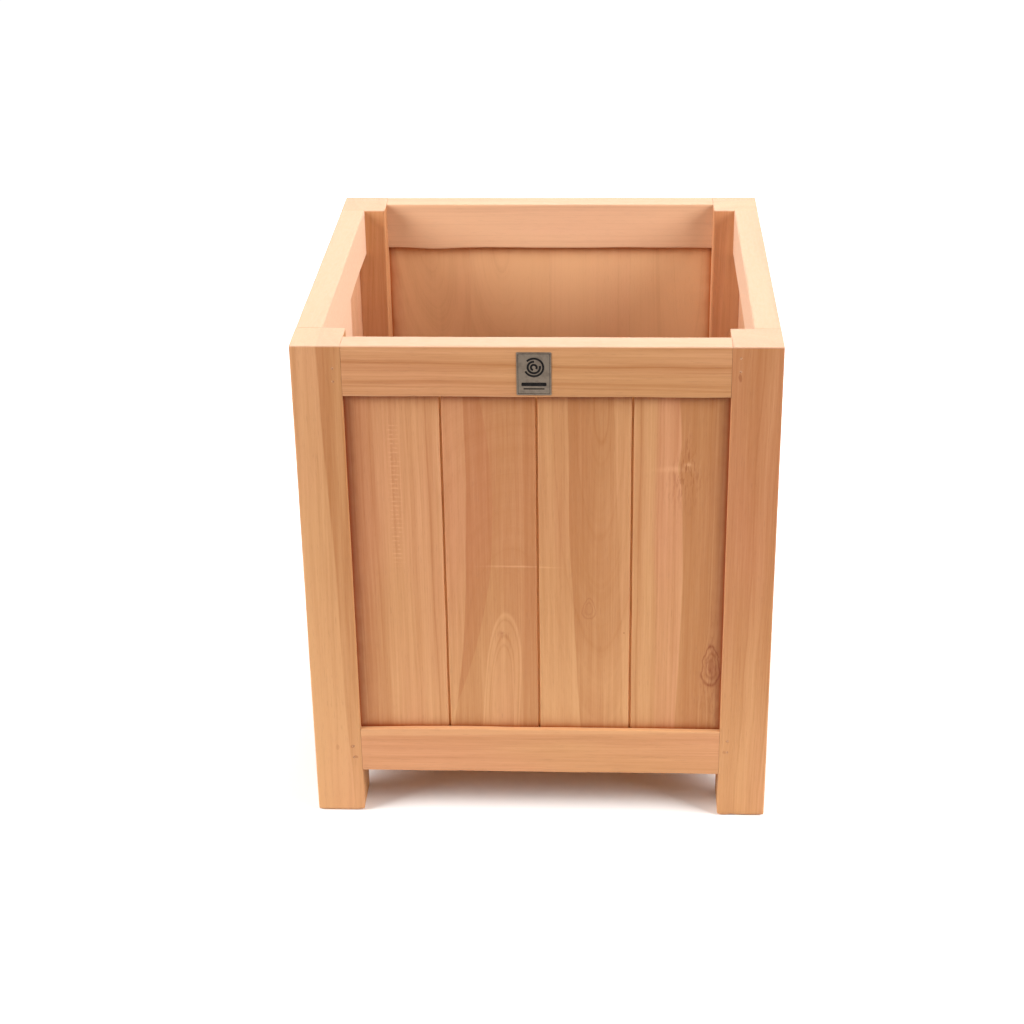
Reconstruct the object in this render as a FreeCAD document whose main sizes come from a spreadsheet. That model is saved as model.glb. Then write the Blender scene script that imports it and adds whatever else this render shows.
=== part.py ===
import FreeCAD, Part
import Sketcher
import os
from FreeCAD import Vector

# Square wooden planter box: four posts, eight rails tenoned into them, and four panels of upright
# boards held in grooves. A slatted floor lies on two battens. Millimetres, +Z up. The origin is on
# the ground under the middle of the box, and the front faces -Y.

drivingSizes = {
    "box_width": 450,
    "box_height": 505,
    "post_side": 47,
    "rail_height": 50,
    "rail_thickness": 25,
    "leg_clearance": 49,
    "edge_radius": 1.5,
    "arris_radius": 0.8,
    # joints
    "tenon_thickness": 10,
    "tenon_length": 26,
    "tenon_shoulder": 8,
    "mortise_play": 0.1,
    "mortise_spare": 1,
    # panel boards and the grooves that hold them
    "panel_reveal": 5,
    "panel_play": 0.1,
    "groove_depth": 8,
    "board_count": 4,
    "board_thickness": 12,
    "board_entry": 7,
    "board_spare": 1,
    "board_gap": 2,
    "board_ease": 0.5,
    "board_seam": 0.1,
    "tongue_thickness": 4,
    "tongue_length": 6,
    "tongue_play": 0.15,
    "tongue_spare": 0.5,
    # pins through the tenons and the filler over them
    "pin_radius": 0.8,
    "pin_length": 28,
    "pin_point": 2,
    "pin_play": 0.05,
    "pin_head_radius": 1.2,
    "pin_head_height": 0.8,
    "pin_inset": 8,
    "pin_low": 7,
    "pin_pitch": 13,
    "pin_stagger": 11,
    "filler_radius": 1.3,
    "filler_depth": 1.5,
    # floor
    "batten_length": 350,
    "batten_thickness": 22,
    "batten_height": 20,
    "batten_rise": 5,
    "slat_length": 396,
    "slat_width": 72,
    "slat_thickness": 15,
    "slat_pitch": 81,
    "slat_notch": 21.5,
    # screws
    "screw_radius": 2,
    "screw_root": 1.4,
    "screw_play": 0.05,
    "screw_head_radius": 4,
    "screw_head_play": 0.1,
    "screw_point": 4,
    "thread_pitch": 1.8,
    "drive_radius": 1.5,
    "drive_depth": 1.4,
    "slat_screw_length": 30,
    "slat_screw_spacing": 30,
    "end_slat_shift": 9,
    "batten_screw_length": 35,
    "batten_screw_spacing": 117,
    # label plate
    "plate_width": 32,
    "plate_height": 42,
    "plate_thickness": 0.6,
    "plate_corner": 1,
    "plate_offset": -1.6,
    "plate_centre": 478.5,
}

# The sides in the order of quarter turns anticlockwise from the front, with the post at the left
# end of each as seen from outside.
sideNames = ["front", "right", "back", "left"]
postNames = ["front_left_post", "front_right_post", "back_right_post", "back_left_post"]

doc = FreeCAD.newDocument("planter_box")
sheet = doc.addObject("Spreadsheet::Sheet", "sizes")
for row, (alias, number) in enumerate(drivingSizes.items(), 1):
    sheet.set(f"A{row}", str(number))
    sheet.setAlias(f"A{row}", alias)
doc.recompute()

# Lengths worked out from the driving dimensions, as expressions.
opening = "(sizes.box_width - 2 * sizes.post_side)"
openingHeight = "(sizes.box_height - sizes.leg_clearance - 2 * sizes.rail_height)"
boardPitch = f"({opening} / sizes.board_count)"
boardLength = f"({openingHeight} + 2 * sizes.groove_depth - sizes.board_spare)"
topRailLevel = "(sizes.box_height - sizes.rail_height)"
grooveNear = "(sizes.panel_reveal - sizes.panel_play)"
grooveFar = "(sizes.panel_reveal + sizes.board_thickness + sizes.panel_play)"
tenonNear = "(sizes.rail_thickness - sizes.tenon_thickness) / 2"
tenonFar = "(sizes.rail_thickness + sizes.tenon_thickness) / 2"
tenonTop = "(sizes.rail_height - sizes.groove_depth)"
pinBore = "(sizes.pin_radius + sizes.pin_play)"
screwBore = "(sizes.screw_radius + sizes.screw_play)"
battenLevel = "(sizes.leg_clearance + sizes.batten_rise)"
slatLevel = f"({battenLevel} + sizes.batten_height)"


def valueOf(expression):
    return float(sheet.evalExpression(expression))


def newBody(name):
    body = doc.addObject("PartDesign::Body", name)
    body.Label = name
    return body


def placeObject(target, position, turn=0, tilt=0):
    # tilt turns about X, then the object moves to its position on the front side, then a whole
    # number of quarter turns about the middle of the box carries it to its own side
    x, y, z = position
    target.setExpression(
        "Placement",
        f"placement(vector(0; 0; 0); rotation(vector(0; 0; 1); {90 * turn}))"
        f" * placement(vector({x}; {y}; {z}); rotation(vector(1; 0; 0); {tilt}))",
    )


def onSide(along, inward, height):
    # a place on the front side, from its left end, its outer face and the ground
    return (f"{along} - sizes.box_width / 2", f"{inward} - sizes.box_width / 2", height)


def newSketch(body, name, role, offset="0"):
    sketch = body.newObject("Sketcher::SketchObject", name)
    plane = next(feature for feature in body.Origin.OriginFeatures if feature.Role == role)
    sketch.AttachmentSupport = [(plane, "")]
    sketch.MapMode = "FlatFace"
    sketch.setExpression("AttachmentOffset.Base.z", offset)
    return sketch


def bindDistance(sketch, kind, geometry, point, expression):
    index = sketch.addConstraint(
        Sketcher.Constraint(kind, -1, 1, geometry, point, valueOf(expression))
    )
    sketch.setExpression(f"Constraints[{index}]", expression)


def addOutline(sketch, corners):
    # a closed outline of straight lines, each corner bound to two expressions
    first = sketch.GeometryCount
    count = len(corners)
    points = [Vector(valueOf(x), valueOf(y), 0) for x, y in corners]
    for index, point in enumerate(points):
        sketch.addGeometry(Part.LineSegment(point, points[(index + 1) % count]), False)
    for index, (x, y) in enumerate(corners):
        line = first + index
        following = first + (index + 1) % count
        sketch.addConstraint(Sketcher.Constraint("Coincident", line, 2, following, 1))
        bindDistance(sketch, "DistanceX", line, 1, x)
        bindDistance(sketch, "DistanceY", line, 1, y)


def addRectangle(sketch, left, right, low, high):
    addOutline(sketch, [(left, low), (right, low), (right, high), (left, high)])


def addCircle(sketch, x, y, radius):
    circle = Part.Circle(Vector(valueOf(x), valueOf(y), 0), Vector(0, 0, 1), valueOf(radius))
    index = sketch.addGeometry(circle, False)
    bindDistance(sketch, "DistanceX", index, 3, x)
    bindDistance(sketch, "DistanceY", index, 3, y)
    constraint = sketch.addConstraint(Sketcher.Constraint("Radius", index, valueOf(radius)))
    sketch.setExpression(f"Constraints[{constraint}]", radius)


def addPad(body, sketch, length, name):
    pad = body.newObject("PartDesign::Pad", name)
    pad.Profile = sketch
    pad.setExpression("Length", length)
    doc.recompute()
    return pad


def checkCut(body, name, before):
    doc.recompute()
    if body.Shape.Volume > before - 0.1:
        raise RuntimeError(f"{body.Label}: {name} removes nothing")


def addPocket(body, sketch, depth, name, backwards=False):
    before = body.Shape.Volume
    pocket = body.newObject("PartDesign::Pocket", name)
    pocket.Profile = sketch
    pocket.Reversed = backwards
    pocket.setExpression("Length", depth)
    checkCut(body, name, before)


def addScrewHoles(body, sketch, name, depth=None, backwards=False):
    # holes that clear a screw: countersunk right through, or blind where a depth is given
    before = body.Shape.Volume
    hole = body.newObject("PartDesign::Hole", name)
    hole.Profile = sketch
    hole.Reversed = backwards
    hole.Threaded = False
    doc.recompute()
    hole.setExpression("Diameter", f"2 * {screwBore}")
    if depth is None:
        hole.DepthType = "ThroughAll"
        hole.HoleCutType = "Countersink"
        hole.HoleCutCustomValues = True
        hole.setExpression("HoleCutDiameter", "2 * (sizes.screw_head_radius + sizes.screw_head_play)")
        hole.HoleCutCountersinkAngle = 90
    else:
        hole.DepthType = "Dimension"
        hole.DrillPoint = "Flat"
        hole.setExpression("Depth", depth)
    checkCut(body, name, before)


def edgesAlong(shape, axis, places):
    # names of the straight edges along one axis that pass within 0.01 mm of the given places,
    # each place being a pair of expressions for the other two coordinates
    others = [index for index in range(3) if index != axis]
    wanted = [(valueOf(first), valueOf(second)) for first, second in places]
    names = []
    for index, edge in enumerate(shape.Edges, 1):
        start, end = edge.Vertexes[0].Point, edge.Vertexes[-1].Point
        if abs((end - start).Length - abs(end[axis] - start[axis])) > 0.01:
            continue
        at = [start[other] for other in others]
        if any(abs(at[0] - a) < 0.01 and abs(at[1] - b) < 0.01 for a, b in wanted):
            names.append(f"Edge{index}")
    return names


def addFillet(body, base, names, radius, name):
    fillet = body.newObject("PartDesign::Fillet", name)
    fillet.Base = (base, names)
    fillet.setExpression("Radius", radius)
    doc.recompute()
    return fillet


def pinHeights(startJoint):
    # heights of the two pins of a joint above the underside of its rail
    lift = "0" if startJoint else "sizes.pin_stagger"
    low = f"(sizes.tenon_shoulder + sizes.pin_low + {lift})"
    return [low, f"({low} + sizes.pin_pitch)"]


def makePost(name, turn):
    # The outer corner of the post is its own origin, and X and Y run inward along two sides. The
    # rails of the side along X start here, and those of the side along Y end here.
    body = newBody(name)
    section = newSketch(body, "section", "XY_Plane")
    addRectangle(section, "0", "sizes.post_side", "0", "sizes.post_side")
    post = addPad(body, section, "sizes.box_height", "post")
    near, far, top = "0", "sizes.post_side", "sizes.box_height"
    corners = edgesAlong(post.Shape, 2, [(near, near), (far, far)])
    eased = addFillet(body, post, corners, "sizes.edge_radius", "outer_and_inner_corners")
    arrises = edgesAlong(eased.Shape, 2, [(near, far), (far, near)])
    for axis in (0, 1):
        arrises += edgesAlong(eased.Shape, axis, [(place, level) for place in (near, far)
                                                  for level in (near, top)])
    addFillet(body, eased, arrises, "sizes.arris_radius", "arrises")

    play = "sizes.mortise_play"
    for role, facing in (("YZ_Plane", "1"), ("XZ_Plane", "-1")):
        joinedFace = f"{facing} * sizes.post_side"
        backwards = role == "XZ_Plane"
        groove = newSketch(body, f"groove_{role}", role, joinedFace)
        addRectangle(groove, grooveNear, grooveFar, f"sizes.leg_clearance + {tenonTop}",
                     f"{topRailLevel} + sizes.groove_depth")
        addPocket(body, groove, "sizes.groove_depth", f"panel_groove_{role}", backwards)
        mortises = newSketch(body, f"mortises_{role}", role, joinedFace)
        addRectangle(mortises, f"{tenonNear} - {play}", f"{tenonFar} + {play}",
                     f"sizes.leg_clearance + sizes.tenon_shoulder - {play}",
                     f"sizes.leg_clearance + {tenonTop} + {play}")
        addRectangle(mortises, f"{tenonNear} - {play}", f"{tenonFar} + {play}",
                     f"{topRailLevel} + sizes.groove_depth - {play}",
                     f"sizes.box_height - sizes.tenon_shoulder + {play}")
        addPocket(body, mortises, "sizes.tenon_length + sizes.mortise_spare",
                  f"mortises_cut_{role}", backwards)
        # The pins enter the outer face and cross the mortises of the side that they are seen on.
        startJoint = role == "XZ_Plane"
        bores = newSketch(body, f"pin_bores_{role}", role)
        heads = newSketch(body, f"pin_heads_{role}", role)
        for railLevel, flip in (("sizes.leg_clearance", False), (topRailLevel, True)):
            for height in pinHeights(startJoint):
                place = ("sizes.post_side - sizes.pin_inset", f"{railLevel} + {height}")
                addCircle(bores, *place, pinBore)
                addCircle(heads, *place, "sizes.filler_radius")
        addPocket(body, bores, "sizes.filler_depth + sizes.pin_length + sizes.pin_play",
                  f"pin_bores_cut_{role}", not startJoint)
        addPocket(body, heads, "sizes.filler_depth + sizes.pin_head_height",
                  f"pin_heads_cut_{role}", not startJoint)
    placeObject(body, onSide("0", "0", "0"), turn)
    return body


def makeRail(name, turn, isTop, holdsBatten=False):
    # X runs along the rail from its left shoulder, Y inward from its outer face. The groove for
    # the boards is in the edge that faces the panel.
    body = newBody(name)

    def level(height):
        # heights are measured from the edge away from the panel
        return f"sizes.rail_height - {height}" if isTop else height

    section = newSketch(body, "section", "YZ_Plane")
    addOutline(section, [
        ("0", level("0")), ("sizes.rail_thickness", level("0")),
        ("sizes.rail_thickness", level("sizes.rail_height")), (grooveFar, level("sizes.rail_height")),
        (grooveFar, level(tenonTop)), (grooveNear, level(tenonTop)),
        (grooveNear, level("sizes.rail_height")), ("0", level("sizes.rail_height")),
    ])
    rail = addPad(body, section, opening, "rail")
    near, far, top = "0", "sizes.rail_thickness", "sizes.rail_height"
    edges = edgesAlong(rail.Shape, 0, [(near, near), (near, top), (far, near), (far, top)])
    addFillet(body, rail, edges, "sizes.edge_radius", "eased_edges")

    tenons = newSketch(body, "tenons", "YZ_Plane", "-sizes.tenon_length")
    low = "sizes.groove_depth" if isTop else "sizes.tenon_shoulder"
    high = "sizes.rail_height - sizes.tenon_shoulder" if isTop else tenonTop
    addRectangle(tenons, tenonNear, tenonFar, low, high)
    addPad(body, tenons, f"{opening} + 2 * sizes.tenon_length", "tenons_pad")

    bores = newSketch(body, "pin_bores", "XZ_Plane")
    for height in pinHeights(True):
        addCircle(bores, "-sizes.pin_inset", height, pinBore)
    for height in pinHeights(False):
        addCircle(bores, f"{opening} + sizes.pin_inset", height, pinBore)
    addPocket(body, bores, "sizes.rail_thickness", "pin_bores_cut")

    if holdsBatten:
        pilots = newSketch(body, "batten_screw_places", "XZ_Plane", "-sizes.rail_thickness")
        for step in (-1, 0, 1):
            addCircle(pilots, f"{opening} / 2 + {step} * sizes.batten_screw_spacing",
                      "sizes.batten_rise + sizes.batten_height / 2", screwBore)
        depth = "sizes.batten_screw_length - sizes.batten_thickness + 0.5"
        addScrewHoles(body, pilots, "batten_screw_holes", depth, backwards=True)
    railLevel = topRailLevel if isTop else "sizes.leg_clearance"
    placeObject(body, onSide("sizes.post_side", "0", railLevel), turn)
    return body


def makeBoard(name, turn, number):
    # X runs across the board from the middle of the seam at its left, Y inward from its face. A
    # tongue at the left enters a slot in the neighbour. The panel's two outer edges are plain.
    isFirst = number == 0
    isLast = number == boardCount - 1
    body = newBody(name)
    face, back = "0", "sizes.board_thickness"
    ease, seam = "sizes.board_ease", "sizes.board_seam / 2"
    lip = "sizes.board_gap / 2"
    tongueNear = "(sizes.board_thickness - sizes.tongue_thickness) / 2"
    tongueFar = "(sizes.board_thickness + sizes.tongue_thickness) / 2"
    if isFirst:
        leftEdge = [("-sizes.board_entry", back), ("-sizes.board_entry", face)]
    else:
        leftEdge = [
            (seam, back), (seam, tongueFar), ("-sizes.tongue_length", tongueFar),
            ("-sizes.tongue_length", tongueNear), (lip, tongueNear), (lip, ease),
            (f"{lip} + {ease}", face),
        ]
    if isLast:
        rightEdge = [(f"{boardPitch} + sizes.board_entry", face),
                     (f"{boardPitch} + sizes.board_entry", back)]
    else:
        slotEnd = f"{boardPitch} - sizes.tongue_length - sizes.tongue_spare"
        slotNear = f"{tongueNear} - sizes.tongue_play"
        slotFar = f"{tongueFar} + sizes.tongue_play"
        rightEdge = [
            (f"{boardPitch} - {lip} - {ease}", face), (f"{boardPitch} - {lip}", ease),
            (f"{boardPitch} - {lip}", slotNear), (slotEnd, slotNear), (slotEnd, slotFar),
            (f"{boardPitch} - {seam}", slotFar), (f"{boardPitch} - {seam}", back),
        ]
    section = newSketch(body, "section", "XY_Plane")
    addOutline(section, leftEdge + rightEdge)
    addPad(body, section, boardLength, "board")
    along = f"sizes.post_side + {number} * {boardPitch}"
    placeObject(body, onSide(along, "sizes.panel_reveal", f"sizes.leg_clearance + {tenonTop}"), turn)
    return body


def slatScrewPlaces():
    # places of the slat screws along a batten from its middle, for each slat in turn
    half = "sizes.slat_screw_spacing / 2"
    places = []
    for step in (-2, -1, 0, 1, 2):
        shift = f"{-step // 2} * sizes.end_slat_shift" if abs(step) == 2 else "0"
        centre = f"{step} * sizes.slat_pitch + {shift}"
        places.append([f"{centre} - {half}", f"{centre} + {half}"])
    return places


def makeBatten(name, turn):
    # X runs along the batten from its middle, Y inward from the rail that it is screwed to.
    body = newBody(name)
    section = newSketch(body, "section", "YZ_Plane", "-sizes.batten_length / 2")
    addRectangle(section, "0", "sizes.batten_thickness", "0", "sizes.batten_height")
    batten = addPad(body, section, "sizes.batten_length", "batten")
    far, top = "sizes.batten_thickness", "sizes.batten_height"
    edges = edgesAlong(batten.Shape, 0, [(far, "0"), (far, top)])
    addFillet(body, batten, edges, "sizes.arris_radius", "arrises")
    inward = newSketch(body, "rail_screw_places", "XZ_Plane", "-sizes.batten_thickness")
    for step in (-1, 0, 1):
        addCircle(inward, f"{step} * sizes.batten_screw_spacing", "sizes.batten_height / 2", screwBore)
    addScrewHoles(body, inward, "rail_screw_holes", backwards=True)
    downward = newSketch(body, "slat_screw_places", "XY_Plane", "sizes.batten_height")
    for pair in slatScrewPlaces():
        for place in pair:
            addCircle(downward, place, "sizes.batten_thickness / 2", screwBore)
    addScrewHoles(body, downward, "slat_screw_pilots",
                  "sizes.slat_screw_length - sizes.slat_thickness + 0.5")
    placeObject(body, onSide("sizes.box_width / 2", "sizes.rail_thickness", battenLevel), turn)
    return body


def makeSlat(name, step):
    # X runs along the slat from its middle. The first and last slats are notched round the posts.
    body = newBody(name)
    end = "sizes.slat_length / 2"
    inner, outer = "-sizes.slat_width / 2", "sizes.slat_width / 2"
    notched = f"{end} - sizes.slat_notch"
    section = newSketch(body, "section", "XY_Plane")
    if abs(step) == 2:
        towards = "1" if step > 0 else "-1"
        edge = f"{towards} * sizes.slat_width / 2"
        shelf = f"{towards} * (sizes.slat_width / 2 - sizes.slat_notch)"
        straight = f"-1 * {towards} * sizes.slat_width / 2"
        addOutline(section, [
            (f"-({end})", straight), (end, straight), (end, shelf), (notched, shelf),
            (notched, edge), (f"-({notched})", edge), (f"-({notched})", shelf), (f"-({end})", shelf),
        ])
    else:
        addRectangle(section, f"-({end})", end, inner, outer)
    slat = addPad(body, section, "sizes.slat_thickness", "slat")
    edges = edgesAlong(slat.Shape, 0, [(inner, "sizes.slat_thickness"), (outer, "sizes.slat_thickness")])
    addFillet(body, slat, edges, "sizes.edge_radius", "eased_edges")
    holes = newSketch(body, "screw_places", "XY_Plane", "sizes.slat_thickness")
    for place in slatScrewPlaces()[step + 2]:
        for x in (f"-({battenLine})", battenLine):
            addCircle(holes, x, f"{place} - ({step} * sizes.slat_pitch)", screwBore)
    addScrewHoles(body, holes, "screw_holes")
    placeObject(body, ("0", f"{step} * sizes.slat_pitch", slatLevel))
    return body


def makeScrew(name, length):
    # a countersunk screw with its head's flat face at the origin, pointing down
    body = newBody(name)
    outline = newSketch(body, "profile", "XZ_Plane")
    head, shank, root = "sizes.screw_head_radius", "sizes.screw_radius", "sizes.screw_root"
    neck = f"({head} - {shank})"
    count = int((valueOf(length) * 0.6 - valueOf("sizes.screw_point")) / valueOf("sizes.thread_pitch"))
    corners = [("0", "0"), (head, "0"), (shank, f"-{neck}"), (root, f"-{neck} - 1")]
    for turn in range(count, 0, -1):
        crest = f"-{length} + sizes.screw_point + {turn} * sizes.thread_pitch"
        corners += [(root, f"{crest} + 0.4 * sizes.thread_pitch"), (shank, crest),
                    (root, f"{crest} - 0.4 * sizes.thread_pitch")]
    corners += [(root, f"-{length} + sizes.screw_point"), ("0", f"-{length}")]
    addOutline(outline, corners)
    screw = body.newObject("PartDesign::Revolution", "screw")
    screw.Profile = outline
    screw.ReferenceAxis = (outline, ["V_Axis"])
    doc.recompute()
    recess = newSketch(body, "recess", "XY_Plane")
    addSixSided(recess, "sizes.drive_radius")
    addPocket(body, recess, "sizes.drive_depth", "recess_cut")
    return body


def addSixSided(sketch, radius):
    corners = [(f"{radius} * cos({60 * step})", f"{radius} * sin({60 * step})") for step in range(6)]
    addOutline(sketch, corners)


def makePin():
    # a headed brad with the top of its head at the origin, pointing down
    body = newBody("tenon_pin")
    outline = newSketch(body, "profile", "XZ_Plane")
    head, shank = "sizes.pin_head_radius", "sizes.pin_radius"
    addOutline(outline, [
        ("0", "0"), (head, "0"), (head, "-sizes.pin_head_height"), (shank, "-sizes.pin_head_height"),
        (shank, "-sizes.pin_length + sizes.pin_point"), ("0", "-sizes.pin_length"),
    ])
    pin = body.newObject("PartDesign::Revolution", "pin")
    pin.Profile = outline
    pin.ReferenceAxis = (outline, ["V_Axis"])
    doc.recompute()
    return body


def makeFiller():
    # a plug of filler with its face at the origin, reaching down
    body = newBody("pin_filler")
    outline = newSketch(body, "section", "XY_Plane", "-sizes.filler_depth")
    addCircle(outline, "0", "0", "sizes.filler_radius")
    addPad(body, outline, "sizes.filler_depth", "filler")
    return body


def makePlate():
    # a thin plate glued on the front top rail
    body = newBody("label_plate")
    outline = newSketch(body, "section", "XZ_Plane")
    halfWidth, halfHeight = "sizes.plate_width / 2", "sizes.plate_height / 2"
    addRectangle(outline, f"-({halfWidth})", halfWidth, f"-({halfHeight})", halfHeight)
    plate = addPad(body, outline, "sizes.plate_thickness", "plate")
    corners = [(x, z) for x in (f"-({halfWidth})", halfWidth) for z in (f"-({halfHeight})", halfHeight)]
    addFillet(body, plate, edgesAlong(plate.Shape, 1, corners), "sizes.plate_corner", "corners")
    placeObject(body, ("sizes.plate_offset", "-sizes.box_width / 2", "sizes.plate_centre"))
    return body


def makeGroup(name, pattern, places):
    # separate copies of one fastener, each place being a position, a turn and a tilt
    group = doc.addObject("Part::Compound", name)
    group.Label = name
    links = []
    for index, (position, turn, tilt) in enumerate(places, 1):
        link = doc.addObject("App::Link", f"{name}_{index}")
        link.LinkedObject = pattern
        placeObject(link, position, turn, tilt)
        links.append(link)
    group.Links = links
    doc.recompute()
    return group


def pinPlaces(depth):
    # every pinned joint of every side, at a depth behind the outer face
    places = []
    for turn in range(4):
        for railLevel in ("sizes.leg_clearance", topRailLevel):
            for startJoint in (True, False):
                inset = "(sizes.post_side - sizes.pin_inset)"
                along = inset if startJoint else f"(sizes.box_width - {inset})"
                for height in pinHeights(startJoint):
                    position = onSide(along, depth, f"{railLevel} + {height}")
                    places.append((position, turn, 90))
    return places


boardCount = int(valueOf("sizes.board_count"))
battenLine = "(sizes.box_width / 2 - sizes.rail_thickness - sizes.batten_thickness / 2)"
subParts = []
for turn, side in enumerate(sideNames):
    subParts.append(makePost(postNames[turn], turn))
    subParts.append(makeRail(f"{side}_bottom_rail", turn, isTop=False, holdsBatten=turn % 2 == 1))
    subParts.append(makeRail(f"{side}_top_rail", turn, isTop=True))
    for number in range(boardCount):
        subParts.append(makeBoard(f"{side}_board_{number + 1}", turn, number))
for turn in (1, 3):
    subParts.append(makeBatten(f"{sideNames[turn]}_floor_batten", turn))
for step in (-2, -1, 0, 1, 2):
    subParts.append(makeSlat(f"floor_slat_{step + 3}", step))
subParts.append(makePlate())

slatTop = f"{slatLevel} + sizes.slat_thickness"
slatScrewSpots = [((x, place, slatTop), 0, 0) for pair in slatScrewPlaces() for place in pair
                  for x in (f"-({battenLine})", battenLine)]
battenScrewSpots = [
    (onSide(f"sizes.box_width / 2 + {step} * sizes.batten_screw_spacing",
            "sizes.rail_thickness + sizes.batten_thickness",
            f"{battenLevel} + sizes.batten_height / 2"), turn, -90)
    for turn in (1, 3) for step in (-1, 0, 1)
]
subParts.append(makeGroup("tenon_pins", makePin(), pinPlaces("sizes.filler_depth")))
subParts.append(makeGroup("pin_fillers", makeFiller(), pinPlaces("0")))
slatScrew = makeScrew("slat_screw", "sizes.slat_screw_length")
subParts.append(makeGroup("slat_screws", slatScrew, slatScrewSpots))
battenScrew = makeScrew("batten_screw", "sizes.batten_screw_length")
subParts.append(makeGroup("batten_screws", battenScrew, battenScrewSpots))
doc.recompute()

failed = [item.Label for item in doc.Objects if {"Invalid", "Error"} & set(item.State)]
failed += [part.Label for part in subParts if part.Shape.isNull() or not part.Shape.isValid()]
if failed:
    raise RuntimeError(f"these failed: {failed}")

os.makedirs("parts", exist_ok=True)
for part in subParts:
    part.Shape.exportStep(f"parts/{part.Label}.step")
print(f"{len(subParts)} sub-parts written")
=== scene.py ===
import math
import bpy
import numpy as np
from mathutils import Matrix, Vector


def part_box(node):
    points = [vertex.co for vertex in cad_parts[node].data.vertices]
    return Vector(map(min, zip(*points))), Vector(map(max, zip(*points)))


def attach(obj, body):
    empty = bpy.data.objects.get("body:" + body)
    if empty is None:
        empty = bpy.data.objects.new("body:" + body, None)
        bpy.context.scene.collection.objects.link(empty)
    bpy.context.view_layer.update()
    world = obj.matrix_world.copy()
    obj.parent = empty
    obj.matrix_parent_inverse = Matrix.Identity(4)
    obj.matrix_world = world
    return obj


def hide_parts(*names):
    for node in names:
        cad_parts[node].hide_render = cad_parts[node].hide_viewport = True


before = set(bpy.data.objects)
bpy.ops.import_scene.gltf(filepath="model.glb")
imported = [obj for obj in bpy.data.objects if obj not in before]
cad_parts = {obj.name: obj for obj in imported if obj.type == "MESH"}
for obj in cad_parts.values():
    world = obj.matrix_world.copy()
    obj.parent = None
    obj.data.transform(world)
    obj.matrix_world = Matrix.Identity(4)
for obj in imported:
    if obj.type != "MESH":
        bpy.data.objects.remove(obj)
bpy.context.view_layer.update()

mm = 0.001
tiny = 1e-7
sides = ["front", "right", "back", "left"]  # quarter turns anticlockwise from the front
posts = ["front_left_post", "front_right_post", "back_right_post", "back_left_post"]


# The low and high corners of a node's box in the frame.
def boxOf(node):
    low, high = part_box(node)
    return np.array(low), np.array(high)


postLow, postHigh = boxOf("front_left_post")
railLow, railHigh = boxOf("front_bottom_rail")
boardLow, boardHigh = boxOf("front_board_1")
half = -postLow[0]
postSide = postHigh[0] - postLow[0]
boxHeight = postHigh[2]
legClearance = railLow[2]
railHeight = railHigh[2] - railLow[2]
railThickness = railHigh[1] - railLow[1]
tenonLength = -half + postSide - railLow[0]
opening = 2 * (half - postSide)
panelReveal = boardLow[1] + half
boardThickness = boardHigh[1] - boardLow[1]
boardLength = boardHigh[2] - boardLow[2]
boardEntry = -half + postSide - boardLow[0]
boardPitch = opening / 4

joinery = {
    "tenonNear": 7.5 * mm,
    "tenonFar": 17.5 * mm,
    "tenonShoulder": 8 * mm,
    "mortisePlay": 0.1 * mm,
    "mortiseSpare": 1 * mm,
    "grooveDepth": 8 * mm,
    "groovePlay": 0.1 * mm,
    "tongueNear": 2.2 * mm,
    "tongueFar": 8 * mm,
    "tongueLength": 6 * mm,
    "tonguePlay": 0.15 * mm,
    "tongueSpare": 0.5 * mm,
    "lip": 0.9 * mm,
    "seam": 0.05 * mm,
}
grooveNear = panelReveal - joinery["groovePlay"]
grooveFar = panelReveal + boardThickness + joinery["groovePlay"]
tenonTop = railHeight - joinery["grooveDepth"]
topRailLevel = boxHeight - railHeight


# Cutting lines from the wanted ones, with even ones between wherever a step is wider than widest.
def cuttingLines(wanted, widest):
    wanted = np.unique(np.round(np.asarray(wanted, float), 7))
    steps = np.maximum(1, np.ceil(np.diff(wanted) / widest - 1e-6).astype(int))
    ends = zip(wanted[:-1], wanted[1:], steps)
    spans = [np.linspace(start, end, count, endpoint=False) for start, end, count in ends]
    return np.append(np.concatenate(spans), wanted[-1])


# A member is a block divided into cells by cutting lines along its three edges. The cells whose
# middles lie in a cut are empty. The skin is every cell face between wood and no wood, wound so
# that it faces away from the wood.
def skinOfBlock(lines, cuts):
    middles = [(line[1:] + line[:-1]) / 2 for line in lines]
    grid = np.meshgrid(*middles, indexing="ij")
    wood = np.ones(grid[0].shape, bool)
    for low, high in cuts:
        inside = [(grid[a] > low[a]) & (grid[a] < high[a]) for a in range(3)]
        wood &= ~(inside[0] & inside[1] & inside[2])
    counts = [len(line) for line in lines]
    stride = np.array([counts[1] * counts[2], counts[2], 1])
    padded = np.pad(wood, 1).astype(int)
    quads = []
    for axis in range(3):
        p, q = [other for other in range(3) if other != axis]
        change = np.moveaxis(np.diff(padded, axis=axis), axis, 0)[:, 1:-1, 1:-1]
        for sign in (1, -1):
            i, j, k = np.nonzero(change == sign)
            first = i * stride[axis] + j * stride[p] + k * stride[q]
            loop = [first, first + stride[p], first + stride[p] + stride[q], first + stride[q]]
            facesUp = (sign == -1) != (axis == 1)
            quads.append(np.stack(loop if facesUp else loop[::-1], axis=1))
    quads = np.concatenate(quads)
    used, quads = np.unique(quads, return_inverse=True)
    index = np.stack(np.unravel_index(used, counts), axis=1)
    points = np.stack([lines[a][index[:, a]] for a in range(3)], axis=1)
    return points, quads.reshape(-1, 4)


# Lines for easing an arris: shares of the radius from it, and one more just past the radius.
def easingLines(edge, radius, inward):
    return edge + inward * radius * np.array([0, 0.25, 0.5, 0.75, 1, 1.3])


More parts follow.
